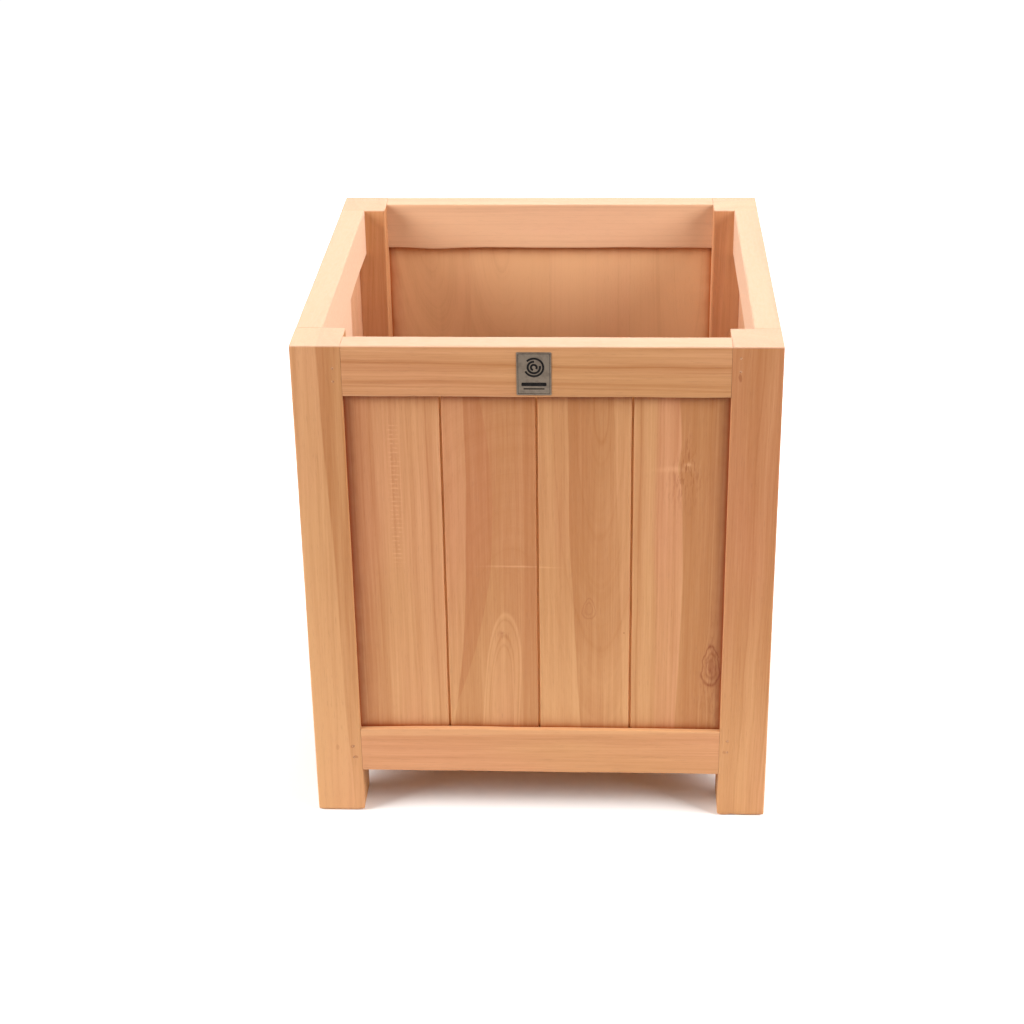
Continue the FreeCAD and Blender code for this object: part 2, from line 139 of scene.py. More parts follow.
# Eases the arris where two outer faces meet. A skin point at a share s of the radius from it goes
# to the arc at (1 - s) * 45 degrees from the face, times an amount that may vary along the arris.
def easeArris(points, moved, axes, edge, inward, radius, amount):
    a, b = axes
    awayA = (points[:, a] - edge[0]) * inward[0]
    awayB = (points[:, b] - edge[1]) * inward[1]
    onA = (np.abs(awayA) < tiny) & (awayB > -tiny) & (awayB < radius + tiny)
    onB = (np.abs(awayB) < tiny) & (awayA > -tiny) & (awayA < radius + tiny) & ~onA
    for near, share, normal, along in ((onA, awayB, 0, 1), (onB, awayA, 1, 0)):
        s = np.clip(share / radius, 0, 1)
        angle = (1 - s) * math.pi / 4
        off = radius * (1 - np.cos(angle)) * near * amount
        slide = radius * (1 - np.sin(angle) - s) * near * amount
        moved[:, axes[normal]] += inward[normal] * off
        moved[:, axes[along]] += inward[along] * slide


waveShares = ((1, 0.5), (0.43, 0.32), (0.19, 0.18))  # of the wavelength, and weight in the sum
strayWaves = (0.31, 0.27)  # wavelengths on a member's low and high faces
handWork = {"wavelength": 0.16, "knockReach": 2.2 * mm, "knockDepth": (0.15, 0.5)}


# A slow wave between 0 and 1 along t: the mean of three sines of falling wavelength with phases
# drawn from the seed.
def slowWave(t, seed, wavelength):
    phases = np.random.default_rng(seed).uniform(0, 2 * math.pi, 3)
    waves = [np.sin(2 * math.pi * t / (wavelength * share) + phase) * weight
             for (share, weight), phase in zip(waveShares, phases)]
    return 0.5 + 0.5 * sum(waves)


# The radius left on an arris by sanding it by hand, as a share of the full one: a slow wave, with
# a few short knocks where it goes deeper.
def handEased(t, seed, least, most, knocks=3):
    amount = least + (most - least) * slowWave(t, seed, handWork["wavelength"])
    draw = np.random.default_rng(seed + 500)
    places = draw.uniform(t.min(), t.max(), knocks)
    for place, depth in zip(places, draw.uniform(*handWork["knockDepth"], knocks)):
        amount += depth * np.exp(-((t - place) / handWork["knockReach"]) ** 2)
    return amount


# Planed faces stray inward a little: each point moves by a slow wave along the piece for its low
# face and another for its high face, blended across the thickness between them.
def strayInward(points, moved, axis, along, size, depth, seed):
    t = np.clip(points[:, axis] / size, 0, 1)
    lowFace = slowWave(points[:, along], seed, strayWaves[0]) * depth
    highFace = slowWave(points[:, along], seed + 1, strayWaves[1]) * depth
    moved[:, axis] += lowFace * (1 - t) - highFace * t


# 1 between low and high, falling to 0 at both over the fade.
def within(t, low, high, fade):
    return np.clip((t - low) / fade, 0, 1) * np.clip((high - t) / fade, 0, 1)


# Members are worked out on the front side, from its left end, its outer face and the ground. A
# quarter turn about the middle of the box for each side takes them to their own.
def toSide(points, turn):
    x, y, z = points[:, 0] - half, points[:, 1] - half, points[:, 2]
    c, s = round(math.cos(turn * math.pi / 2)), round(math.sin(turn * math.pi / 2))
    return np.stack([c * x - s * y, s * x + c * y, z], axis=1)


# One finished piece: smooth but for edges past the sharp angle, riding on the frame's root, and
# standing in for the nodes it is named after.
def addPiece(name, points, faces, material, nodes, slotName, sharpAngle=38):
    mesh = bpy.data.meshes.new(name)
    mesh.from_pydata(points.tolist(), [], faces if isinstance(faces, list) else faces.tolist())
    mesh.polygons.foreach_set("use_smooth", [True] * len(mesh.polygons))
    mesh.set_sharp_from_angle(angle=math.radians(sharpAngle))
    mesh.materials.append(material)
    mesh.validate()
    piece = bpy.data.objects.new(name, mesh)
    bpy.context.scene.collection.objects.link(piece)
    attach(piece, "root")
    if nodes:
        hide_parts(*nodes)


# front_left_post becomes frontLeftPost.
def camel(node):
    first, *others = node.split("_")
    return first + "".join(word.capitalize() for word in others)


# A value on its way through a node tree. The usual signs between wires and numbers make Math nodes.
class Wire:
    def __init__(self, tree, socket):
        self.tree = tree
        self.socket = socket

    def calc(self, operation, *others):
        return calc(self.tree, operation, self, *others)

    def __add__(self, other):
        return self.calc("ADD", other)

    def __sub__(self, other):
        return self.calc("SUBTRACT", other)

    def __mul__(self, other):
        return self.calc("MULTIPLY", other)

    def __truediv__(self, other):
        return self.calc("DIVIDE", other)

    def __pow__(self, other):
        return self.calc("POWER", other)


# A wire is linked to the socket and a plain value is set in it.
def feed(tree, socket, value):
    if isinstance(value, Wire):
        tree.links.new(value.socket, socket)
    else:
        socket.default_value = value


# A node with its settings, and its inputs fed in order or by name.
def addNode(tree, kind, inputs=(), **settings):
    node = tree.nodes.new(kind)
    for setting, value in settings.items():
        setattr(node, setting, value)
    pairs = inputs.items() if isinstance(inputs, dict) else enumerate(inputs)
    for key, value in pairs:
        feed(tree, node.inputs[key], value)
    return node


def wiresOf(tree, node):
    return {socket.name: Wire(tree, socket) for socket in node.outputs}


def calc(tree, operation, *values):
    return Wire(tree, addNode(tree, "ShaderNodeMath", values, operation=operation).outputs[0])


def calcVector(tree, operation, *values):
    return Wire(tree, addNode(tree, "ShaderNodeVectorMath", values, operation=operation).outputs[0])


def split(tree, vector):
    return [Wire(tree, output) for output in addNode(tree, "ShaderNodeSeparateXYZ", [vector]).outputs]


# exp(-value)
def fading(value):
    return (value * -1).calc("EXPONENT")


# Noise between 0 and 1 that is drawn out along the grain where along is less than 1.
def noiseOf(tree, vector, scale, detail, roughness, along=1, colour=False):
    if along != 1:
        vector = calcVector(tree, "MULTIPLY", vector, (1, 1, along))
    inputs = {"Vector": vector, "Scale": scale, "Detail": detail, "Roughness": roughness}
    node = addNode(tree, "ShaderNodeTexNoise", inputs, noise_dimensions="3D")
    return Wire(tree, node.outputs["Color" if colour else "Fac"])


# Noise along a single value.
def lineNoise(tree, value, detail, roughness=0.5):
    inputs = {"W": value, "Scale": 1, "Detail": detail, "Roughness": roughness}
    node = addNode(tree, "ShaderNodeTexNoise", inputs, noise_dimensions="1D")
    return Wire(tree, node.outputs["Fac"])


# A smooth step from low to high.
def ramped(tree, value, low, high, to=(0, 1)):
    node = addNode(tree, "ShaderNodeMapRange", (value, low, high, *to), interpolation_type="SMOOTHSTEP")
    return Wire(tree, node.outputs["Result"])


def mixed(tree, factor, first, second, blend="MIX"):
    inputs = {0: factor, 6: first, 7: second}  # the factor and the two colours among all the kinds
    node = addNode(tree, "ShaderNodeMix", inputs, data_type="RGBA", blend_type=blend)
    return Wire(tree, node.outputs[2])


# A group takes a vector and the named values, each with what it is when nothing is put in.
def openGroup(name, values):
    tree = bpy.data.node_groups.new(name, "ShaderNodeTree")
    for label, value in {"Vector": (0, 0, 0), **values}.items():
        kind = "NodeSocketVector" if isinstance(value, tuple) else "NodeSocketFloat"
        tree.interface.new_socket(name=label, in_out="INPUT", socket_type=kind).default_value = value
    return tree, wiresOf(tree, tree.nodes.new("NodeGroupInput"))


def closeGroup(tree, **results):
    for label in results:
        tree.interface.new_socket(name=label, in_out="OUTPUT", socket_type="NodeSocketFloat")
    addNode(tree, "NodeGroupOutput", results)
    return tree


def useGroup(tree, group, **values):
    node = addNode(tree, "ShaderNodeGroup", node_tree=group)
    for label, value in values.items():
        feed(tree, node.inputs[label], value)
    return wiresOf(tree, node)


def newMaterial(name):
    material = bpy.data.materials.new(name)
    material.use_nodes = True
    tree = material.node_tree
    tree.nodes.clear()
    surface = tree.nodes.new("ShaderNodeBsdfPrincipled")
    output = tree.nodes.new("ShaderNodeOutputMaterial")
    tree.links.new(surface.outputs[0], output.inputs[0])
    place = Wire(tree, addNode(tree, "ShaderNodeTexCoord").outputs["Object"])
    return material, tree, surface.inputs, place


# A height turned into the surface's normal.
def addBump(tree, surface, height, strength, distance):
    inputs = {"Strength": strength, "Distance": distance, "Height": height}
    feed(tree, surface["Normal"], Wire(tree, addNode(tree, "ShaderNodeBump", inputs).outputs[0]))


ringNoise = {
    "wanderScale": 26, "wanderAlong": 0.22,  # how the rings waver
    "broadPitch": 0.21, "finePitch": 1.15,  # steps of noise in a ring
    "unevenPitch": 0.6, "unevenness": 2.4,  # how the rings differ in width
    "strengthPitch": 0.37, "sharpness": 4,  # how the lines differ in strength, and how thin they are
}


# Growth rings: the distance r from a pith line that leans and curves through the timber, wavered by
# slow noise and swollen round knots. Broad and fine bands are one-dimensional noises of r, and the
# line is a saw of r that darkens to the end of each ring and then stops.
def makeRingsGroup():
    noise = ringNoise
    tree, given = openGroup("growthRings", {
        "Swell": 0.0, "PithAcross": 0.05, "PithDepth": 0.03, "LeanAcross": 0.0, "LeanDepth": 0.0,
        "CurveDepth": 0.0, "RingWidth": 0.003, "Waver": 0.004, "Seed": 0.0,
    })
    u, v, w = split(tree, given["Vector"])
    shifted = calcVector(tree, "ADD", given["Vector"], given["Seed"])
    wander = noiseOf(tree, shifted, noise["wanderScale"], 2, 0.45, noise["wanderAlong"], colour=True)
    pushAcross, pushDepth, _ = split(tree, wander)
    across = u - (given["PithAcross"] + w * given["LeanAcross"]) + (pushAcross - 0.5) * given["Waver"]
    depth = v - (given["PithDepth"] + w * given["LeanDepth"]) + (pushDepth - 0.5) * given["Waver"]
    depth = depth + w * w * given["CurveDepth"]
    radius = (across * across + depth * depth).calc("SQRT") + given["Swell"]
    rings = radius / given["RingWidth"] + given["Seed"]
    uneven = lineNoise(tree, rings * noise["unevenPitch"], 1) * noise["unevenness"] + rings
    strength = ramped(tree, lineNoise(tree, rings * noise["strengthPitch"], 1), 0.35, 0.7)
    return closeGroup(
        tree,
        Broad=lineNoise(tree, rings * noise["broadPitch"], 2, 0.55),
        Fine=lineNoise(tree, rings * noise["finePitch"], 2, 0.6),
        Line=uneven.calc("FRACT") ** noise["sharpness"] * strength,
        Radius=radius,
    )


knotShape = {
    "stirScale": 120, "narrowing": 0.4, "narrowest": 0.3, "swellPower": 1.4, "heart": (0.5, 0.3),
    "outlines": ((1, 0.09, 1), (0.6, 0.1, 0.7)),  # distance, thickness, strength
    "streaks": (560, 2, 0.6, 0.16), "streakLevels": (0.48, 0.62), "streakReach": 0.12,
}


# A knot: distance d from a branch that runs through the thickness, in widths across, narrowing
# upwards, and heights along the grain. The swell falls off as exp(-d^1.4), the heart is the inside
# of about d = 0.4, the outline is a thin ring at d = 1 and a weaker one at 0.6, the feather is
# streaks that run up and down the grain from it, and the blur is exp(-d^2).
def makeKnotGroup():
    shape = knotShape
    tree, given = openGroup("knot", {
        "Centre": (0, 0, 0), "Width": 0.008, "Height": 0.02, "Swelling": 0.01, "Wobble": 0.004,
    })
    x, _, z = split(tree, calcVector(tree, "SUBTRACT", given["Vector"], given["Centre"]))
    stir = noiseOf(tree, given["Vector"], shape["stirScale"], 2, 0.5, colour=True)
    stirAcross, stirAlong, _ = split(tree, stir)
    along = (z + (stirAlong - 0.5) * given["Wobble"]) / given["Height"]
    taper = (along * -shape["narrowing"] + 1).calc("MAXIMUM", shape["narrowest"])
    across = (x + (stirAcross - 0.5) * given["Wobble"]) / (given["Width"] * taper)
    distance = (across * across + along * along).calc("SQRT")

    def thinRing(at, thickness, strength):
        off = (distance - at) / thickness
        return fading(off * off) * strength

    outer, inner = shape["outlines"]
    streaks = ramped(tree, noiseOf(tree, given["Vector"], *shape["streaks"]), *shape["streakLevels"])
    return closeGroup(
        tree,
        Swell=fading(distance ** shape["swellPower"]) * given["Swelling"],
        Heart=ramped(tree, distance, *shape["heart"]),
        Outline=thinRing(*outer) + thinRing(*inner),
        Feather=streaks * fading(across * across + along * along * shape["streakReach"]),
        Blur=fading(distance * distance),
    )


fibreNoises = {  # scale, detail, roughness, and how far drawn out along the grain
    "Fibre": (900, 3, 0.65, 0.018), "Streak": (240, 2, 0.6, 0.022),
    "Pores": (1500, 1, 0.5, 0.05), "Fleck": (420, 2, 0.6, 0.3),
}
poreLevels = (0.62, 0.72)


# Fibres and pores: noises stretched along the grain. The fibre is a fine even streak, the streak a
# wider one, the pores are short dark dashes where another noise passes a level, and the fleck is for
# the roughness.
def makeFibreGroup():
    tree, given = openGroup("fibres", {})
    noises = {label: noiseOf(tree, given["Vector"], *values) for label, values in fibreNoises.items()}
    noises["Pores"] = ramped(tree, noises["Pores"], *poreLevels)
    return closeGroup(tree, **noises)


edgeWaver = {"noise": (30, 2, 0.5, 0.25), "width": 6 * mm}


# The edge between pale and darker timber: a line on the face at Offset + Lean * w + Bend * w^2 less
# any swell of a knot, crisp or soft, beyond which the timber is darker.
def makeShadeGroup():
    tree, given = openGroup("heartEdge", {
        "Swell": 0.0, "Offset": 0.0, "Lean": 0.0, "Bend": 0.0, "Softness": 0.002, "Direction": 1.0,
    })
    u, _, w = split(tree, given["Vector"])
    waver = (noiseOf(tree, given["Vector"], *edgeWaver["noise"]) - 0.5) * edgeWaver["width"]
    line = w * (w * given["Bend"] + given["Lean"]) + given["Offset"] + waver - given["Swell"]
    past = (u - line) * given["Direction"]
    return closeGroup(tree, Shade=ramped(tree, past, given["Softness"] * -1, given["Softness"]))


# Painted shade in the corners of the frame, standing in for the frame's shadow on the panel:
# exp(-d / Reach), where d is the distance to the nearest of four borders of the face.
def makeCornerShadeGroup():
    tree, given = openGroup("paintedCornerShade", {
        "Left": -1.0, "Right": 1.0, "Bottom": -1.0, "Top": 1.0, "Reach": 0.004,
    })
    u, _, w = split(tree, given["Vector"])
    sideways = (u - given["Left"]).calc("MINIMUM", given["Right"] - u)
    upright = (w - given["Bottom"]).calc("MINIMUM", given["Top"] - w)
    nearest = sideways.calc("MINIMUM", upright).calc("MAXIMUM", 0)
    reach = given["Reach"] * (noiseOf(tree, given["Vector"], 60, 2, 0.5) + 0.5)
    return closeGroup(tree, Stain=fading(nearest / reach))


ringsGroup = makeRingsGroup()
knotGroup = makeKnotGroup()
fibreGroup = makeFibreGroup()
shadeGroup = makeShadeGroup()
cornerShadeGroup = makeCornerShadeGroup()

teakLook = {
    "pale": (0.620, 0.318, 0.154, 1),
    "dark": (0.410, 0.158, 0.056, 1),
    "bandEnds": (-0.05, 1.15),  # sums of bands that are all pale and all dark
    "broadDepth": 1.0,
    "fineDepth": 0.5,
    "lineDepth": 0.24,
    "fibreDepth": 0.4,
    "streakDepth": 0.55,
    "drift": (11, 2, 0.5, 0.25),  # slow noise between rose and gold
    "driftEnds": (0.3, 0.7),
    "rose": (1.03, 0.965, 0.99, 1),
    "gold": (0.985, 1.0, 0.90, 1),
    "pore": (0.20, 0.08, 0.03, 1),
    "poreDarkening": 0.14,
    "knot": (0.290, 0.085, 0.030, 1),
    "knotShare": 0.75,
    # painted highlight on the rim and painted light on the inner faces: a paler colour and its shares
    "bare": (0.760, 0.505, 0.350, 1),
    "rimHighlight": 0.6,
    "rimDepth": (1.6 * mm, 0.5 * mm),
    "insideDepth": (1 * mm, 0.3 * mm),
    # painted shade along the borders of the panel
    "stain": (0.58, 0.27, 0.11, 1),
    "paintedShadeReach": 4.6 * mm,
    # painted bounce light in the gaps between boards
    "seam": (0.68, 0.28, 0.085, 1),
    "gapLightShare": 0.9,
    "gapLightDepth": (0.5 * mm, 1 * mm),
    "roughness": (0.50, 0.67),
    "ior": 1.4,
    "specular": 0.4,
    "bump": 0.12 * mm,
    "bumpStrength": 0.6,
    "poreBump": -1.2,
    "lineBump": -0.6,
}

# Planer chatter: a strip of shallow ripples along one board, with its middle across the board, its
# lowest and highest level, its reach, pitch and depth, and how pale its crests are painted, as a
# painted highlight.
chatter = {"front_board_1": {"across": 44.5 * mm, "low": 0.272, "high": 0.432, "reach": 5 * mm,
                             "pitch": 4.6 * mm, "depth": 0.13 * mm, "widest": 1.15 * mm, "crestHighlight": 0.30}}

# What a piece's timber is like where it isn't drawn at random. Lengths are metres from the middle
# of the piece: u across its face, v through it and w along it. The pith has a place, leans along
# the piece and may curve. A zone's edge has a place across, a lean, a bend, a softness, the side
# that it darkens, how much, and how rosy that side is. inside is a radius from the pith, a softness
# and how much darker it is within, and a ring line is a radius, a thickness and a darkness. broad
# scales the bands, and the inner-face share scales the painted light that makes the inner face paler.
timbers = {
    "front_board_1": {
        "pithAcross": 0.12, "pithDepth": 0.02, "leanAcross": -0.012, "leanDepth": 0.0,
        "ringWidth": 0.0034, "tone": 0.44, "hue": 0.5, "broad": 0.6,
        "zones": [(-0.016, -0.02, 0.0, 0.022, -1, 0.38, 0.25)],
    },
    "front_board_2": {
        "pithAcross": 0.0207, "pithDepth": -0.0402, "leanAcross": 0.065, "leanDepth": -0.3646,
        "curveDepth": 1.033, "ringWidth": 0.0019, "tone": 0.38, "hue": 0.58, "broad": 0.12, "waver": 0.004,
        "zones": [(-0.0209, 0.0445, -0.238, 0.0007, 1, 0.34, 0.1),
                  (0.0015, 0.108, -0.80, 0.0006, -1, 0.15, 0.25), (0.034, 0.01, 0.0, 0.0015, 1, 0.12, 0.0)],
        "inside": (0.0175, 0.0006, -0.2),
        "ringLines": [(0.0180, 0.0006, -0.3), (0.0166, 0.0004, 0.16),
                      (0.0128, 0.0005, 0.2), (0.0108, 0.0004, 0.14)],
    },
    "front_board_3": {
        "pithAcross": 0.0185, "pithDepth": -0.0342, "leanAcross": 0.0, "leanDepth": 0.17,
        "ringWidth": 0.0024, "tone": 0.29, "hue": 0.66, "broad": 0.22, "waver": 0.005,
        "zones": [(-0.0098, -0.034, 0.13, 0.0006, 1, 0.34, 0.0), (0.036, -0.035, 0.0, 0.0008, -1, 0.2, 0.0),
                  (-0.024, -0.01, 0.0, 0.0006, 1, 0.08, 0.1), (0.010, -0.034, 0.13, 0.022, 1, -0.24, 0.0)],
        "ringLines": [(0.0225, 0.0006, 0.07), (0.0065, 0.0006, 0.14), (0.0105, 0.0005, 0.08)],
    },
    "front_board_4": {
        "pithAcross": -0.075, "pithDepth": 0.02, "leanAcross": 0.004, "leanDepth": 0.0,
        "ringWidth": 0.0031, "tone": 0.42, "hue": 0.66, "broad": 0.6, "waver": 0.005,
        "zones": [(0.0035, -0.004, -0.13, 0.0007, 1, 0.33, -0.45), (-0.022, 0.0, 0.0, 0.004, 1, 0.04, 0.55)],
    },
    "front_left_post": {"tone": 0.36, "hue": 0.62},
    "front_right_post": {"tone": 0.70, "hue": 0.44},
    "front_top_rail": {"tone": 0.46, "hue": 0.5},
    "front_bottom_rail": {"tone": 0.14, "hue": 0.50, "leanAcross": 0.0, "leanDepth": 0.01, "broad": 0.5},
    "back_top_rail": {"tone": 0.10, "hue": 0.6, "broad": 1.6, "bareness": 0.9},
    "back_board_1": {"tone": 0.10, "hue": 0.7, "broad": 1.5, "bareness": 2.1},
    "back_board_2": {
        "pithAcross": 0.06, "leanAcross": 0.02, "tone": 0.10, "hue": 0.65, "broad": 1.1, "bareness": 2.1,
    },
    "back_board_3": {
        "pithAcross": 0.004, "pithDepth": 0.060, "leanAcross": 0.05, "leanDepth": -0.30,
        "ringWidth": 0.0030, "tone": 0.02, "hue": 0.85, "broad": 1.25, "waver": 0.007, "bareness": 1.8,
        "zones": [(-0.012, 0.10, 0.0, 0.002, 1, 0.2, 0.3)],
    },
    "back_board_4": {
        "pithAcross": -0.02, "pithDepth": 0.055, "leanAcross": 0.12, "leanDepth": -0.26,
        "ringWidth": 0.0032, "tone": 0.24, "hue": 0.65, "broad": 1.25, "waver": 0.007, "bareness": 1.6,
        "zones": [(0.02, 0.10, 0.0, 0.001, 1, 0.26, 0.3)],
    },
}
# The painted light on the insides of the back boards is warmer.
for number in range(1, 5):
    timbers[f"back_board_{number}"]["paintedLightColour"] = (0.84, 0.52, 0.29, 1)  # warmer inside the back
# The paler inner faces of the side rails and boards are painted light.
for node in ("left_top_rail", "right_top_rail"):
    timbers[node] = {"tone": 0.05, "hue": 0.35, "bareness": 1.75}
for node in ("left_board_2", "left_board_3", "left_board_4"):
    timbers[node] = {"tone": 0.15, "hue": 0.4, "bareness": 3.2}
for node in ("right_board_1", "right_board_2"):
    timbers[node] = {"tone": 0.2, "hue": 0.4, "bareness": 2.2}

# Knots by piece: place across and height in the frame, width, height along the grain, swelling of
# the rings, how dark its heart, outline and feathers are, and the wobble of its shape.
knots = {
    "front_board_4": [(0.1675, 0.171, 0.0080, 0.022, 0.010, 0.75, 0.95, 0.55, 0.0055),
                      (0.1405, 0.386, 0.0090, 0.012, 0.009, 0.0, 0.0, 0.95, 0.002)],
    "front_board_3": [(0.049, 0.233, 0.0060, 0.011, 0.003, 0.0, 0.42, 0.2, 0.003),
                      (0.0828, 0.2065, 0.0014, 0.0016, 0.0, 1.4, 0.0, 0.0, 0.0004)],
    "front_board_2": [(-0.0345, 0.2045, 0.0060, 0.0026, 0.0, 0.20, 0.0, 0.45, 0.006)],
}
# Darker timber round the pins of the front posts: place, width, height, darkness.
pinStains = {
    "front_left_post": [(-0.1873, 0.0765, 0.0050, 0.0045, 0.55), (-0.1842, 0.0644, 0.0055, 0.0045, 0.60),
                        (-0.2020, 0.0755, 0.0040, 0.0090, 0.30)],
    "front_right_post": [(0.1858, 0.0878, 0.0045, 0.0045, 0.45), (0.1833, 0.0750, 0.0045, 0.0045, 0.45),
                         (0.1857, 0.4750, 0.0034, 0.0110, 0.80)],
}
for node, stains in pinStains.items():
    knots[node] = [(*place, 0.0, dark, 0.0, 0.0, 0.003) for *place, dark in stains]

# Pale marks left on the face by the planer, and paler lower ends, which are painted light from the
# floor: place across and height in the frame, half width, half height, strength.
planerMarksAndFloorLight = {
    "front_board_2": [(-0.017, 0.2782, 0.020, 0.0009, 0.45), (-0.040, 0.2786, 0.012, 0.0008, 0.2),
                      (-0.0350, 0.120, 0.060, 0.100, 0.16)],
    "front_board_3": [(0.003, 0.2775, 0.014, 0.0008, 0.3), (0.0500, 0.120, 0.060, 0.100, 0.30)],
    "front_board_1": [(-0.1280, 0.347, 0.0006, 0.045, 0.2), (-0.1200, 0.110, 0.060, 0.080, 0.10)],
    "back_board_3": [(-0.0420, 0.440, 0.013, 0.030, 0.35)],
    "front_left_post": [(-0.2015, 0.040, 0.060, 0.160, 0.32)],
    "front_right_post": [(0.2015, 0.040, 0.060, 0.160, 0.40)],
    "front_board_4": [(0.1280, 0.3815, 0.013, 0.0028, 0.35), (0.1405, 0.386, 0.0035, 0.0022, 0.5)],
}


# Each member is cut from its own log: its pith line, rings and tone are drawn from its number.
def timberOf(node, index):
    draw = np.random.default_rng(100 + index)
    side = draw.choice([-1, 1])
    flat = draw.uniform() < 0.45
    timber = {
        "pithAcross": side * (draw.uniform(0.0, 0.025) if flat else draw.uniform(0.05, 0.13)),
        "pithDepth": draw.choice([-1, 1]) * draw.uniform(0.025, 0.05),
        "leanAcross": draw.uniform(-0.03, 0.03),
        "leanDepth": draw.uniform(-0.12, 0.12) if flat else draw.uniform(-0.04, 0.04),
        "curveDepth": 0.0,
        "ringWidth": draw.uniform(0.002, 0.0045),
        "waver": draw.uniform(0.004, 0.009),
        "zones": [(draw.uniform(-0.02, 0.02), draw.uniform(-0.04, 0.04), 0.0, 0.001, side,
                   draw.uniform(0.0, 0.35), draw.uniform(-0.2, 0.3))],
        "tone": draw.uniform(0.2, 0.5),
        "hue": draw.uniform(0.3, 0.75),
        "broad": 0.8,
        "bareness": 1.0,
        "paintedLightColour": teakLook["bare"],
        "seed": float(index) * 3.7,
    }
    timber.update(timbers.get(node, {}))
    return timber


# A member's teak. Object coordinates are turned and centred so that u runs across the face, v
# through it and w along the grain. Bands of shade, zones, ring lines, planer marks, painted light on
# lower ends and painted highlights on chatter crests are added up, the sum is turned into a colour
# between pale and dark, and slow drift tints it rosy or golden. Pores and knots darken it. The rim
# is painted paler as a painted highlight and the insides of rails and boards as painted light, the
# borders of the panel take painted shade, and the gaps between boards painted bounce light.
def makeTeak(node, index, turn, lying, borders=None, bareInside=0.0):
    timber, look = timberOf(node, index), teakLook
    material, tree, surface, place = newMaterial(f"teak_{camel(node)}")
    toFront = Matrix.Rotation(-turn * math.pi / 2, 3, "Z")
    if lying:
        toFront = Matrix.Rotation(math.pi / 2, 3, "Y") @ toFront
    low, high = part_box(node)
    middle = toFront @ ((low + high) / 2)
    centring = {"Vector": place, "Rotation": toFront.to_euler("XYZ"), "Location": -middle}
    grain = Wire(tree, addNode(tree, "ShaderNodeMapping", centring, vector_type="POINT").outputs[0])

    swell, marks = 0.0, 0.0
    for x, z, width, height, swelling, *weights, wobble in knots.get(node, []):
        knot = useGroup(tree, knotGroup, Vector=place, Centre=(x, 0, z), Width=width, Height=height,
                        Swelling=swelling, Wobble=wobble)
        swell = knot["Swell"] + swell
        for part, weight in zip(("Heart", "Outline", "Feather"), weights):
            if weight:
                marks = knot[part] * weight + marks
    rings = useGroup(
        tree, ringsGroup, Vector=grain, Swell=swell, PithAcross=timber["pithAcross"],
        PithDepth=timber["pithDepth"], LeanAcross=timber["leanAcross"], LeanDepth=timber["leanDepth"],
        CurveDepth=timber["curveDepth"], RingWidth=timber["ringWidth"], Waver=timber["waver"],
        Seed=timber["seed"],
    )
    fibres = useGroup(tree, fibreGroup, Vector=grain)

    band = timber["tone"]
    for part, middle, depth in (
        (rings["Broad"], 0.5, look["broadDepth"] * timber["broad"]),
        (rings["Fine"], 0.5, look["fineDepth"] * timber["broad"]),
        (rings["Line"], 0, look["lineDepth"] * timber["broad"]),
        (fibres["Fibre"], 0.5, look["fibreDepth"]),
        (fibres["Streak"], 0.5, look["streakDepth"]),
    ):
        band = (part - middle) * depth + band
    hue = noiseOf(tree, grain, *look["drift"]) + (timber["hue"] - 0.5)
    for offset, lean, bend, softness, direction, depth, rosy in timber["zones"]:
        shade = useGroup(tree, shadeGroup, Vector=grain, Swell=swell, Offset=offset, Lean=lean, Bend=bend,
                         Softness=softness, Direction=direction)["Shade"]
        band = shade * depth + band
        hue = shade * (-rosy * 0.5) + hue
    if "inside" in timber:
        radius, softness, depth = timber["inside"]
        band = ramped(tree, rings["Radius"], radius + softness, radius - softness) * depth + band
    for radius, thickness, depth in timber.get("ringLines", []):
        off = (rings["Radius"] - radius) / thickness
        band = fading(off * off) * depth + band
    # pale planer marks, and painted light from the floor on the lower ends
    for x, z, width, height, strength in planerMarksAndFloorLight.get(node, []):
        mark = useGroup(tree, knotGroup, Vector=place, Centre=(x, 0, z), Width=width, Height=height,
                        Swelling=0.0, Wobble=0.001)
        band = mark["Blur"] * -strength + band
    # painted highlights on the chatter crests
    if node in chatter:
        band = paintedCrestHighlights(tree, place, chatter[node]) * -chatter[node]["crestHighlight"] + band

    colour = mixed(tree, ramped(tree, band, *look["bandEnds"]), look["pale"], look["dark"])
    tint = mixed(tree, ramped(tree, hue, *look["driftEnds"]), look["rose"], look["gold"])
    colour = mixed(tree, 1.0, colour, tint, blend="MULTIPLY")
    colour = mixed(tree, fibres["Pores"] * look["poreDarkening"], colour, look["pore"])
    if marks:
        colour = mixed(tree, marks * look["knotShare"], colour, look["knot"])
    through = split(tree, grain)[1]
    # painted highlight on the rim, and painted light on the inner faces
    innerFace = abs((toFront @ (high - low))[1]) / 2
    rimLow, rimHigh = look["rimDepth"]
    bare = ramped(tree, split(tree, place)[2], boxHeight - rimLow, boxHeight - rimHigh, (0, look["rimHighlight"]))
    if bareInside:
        deep, shallow = look["insideDepth"]
        share = bareInside * timber["bareness"]
        inside = ramped(tree, through, innerFace - deep, innerFace - shallow, (0, share))
        bare = bare.calc("MAXIMUM", inside)
    colour = mixed(tree, bare, colour, timber["paintedLightColour"])
    # painted shade along the panel's borders, standing in for the frame's shadow
    if borders:
        stain = useGroup(tree, cornerShadeGroup, Vector=grain, Reach=look["paintedShadeReach"], **borders)["Stain"]
        colour = mixed(tree, stain, colour, look["stain"], blend="MULTIPLY")
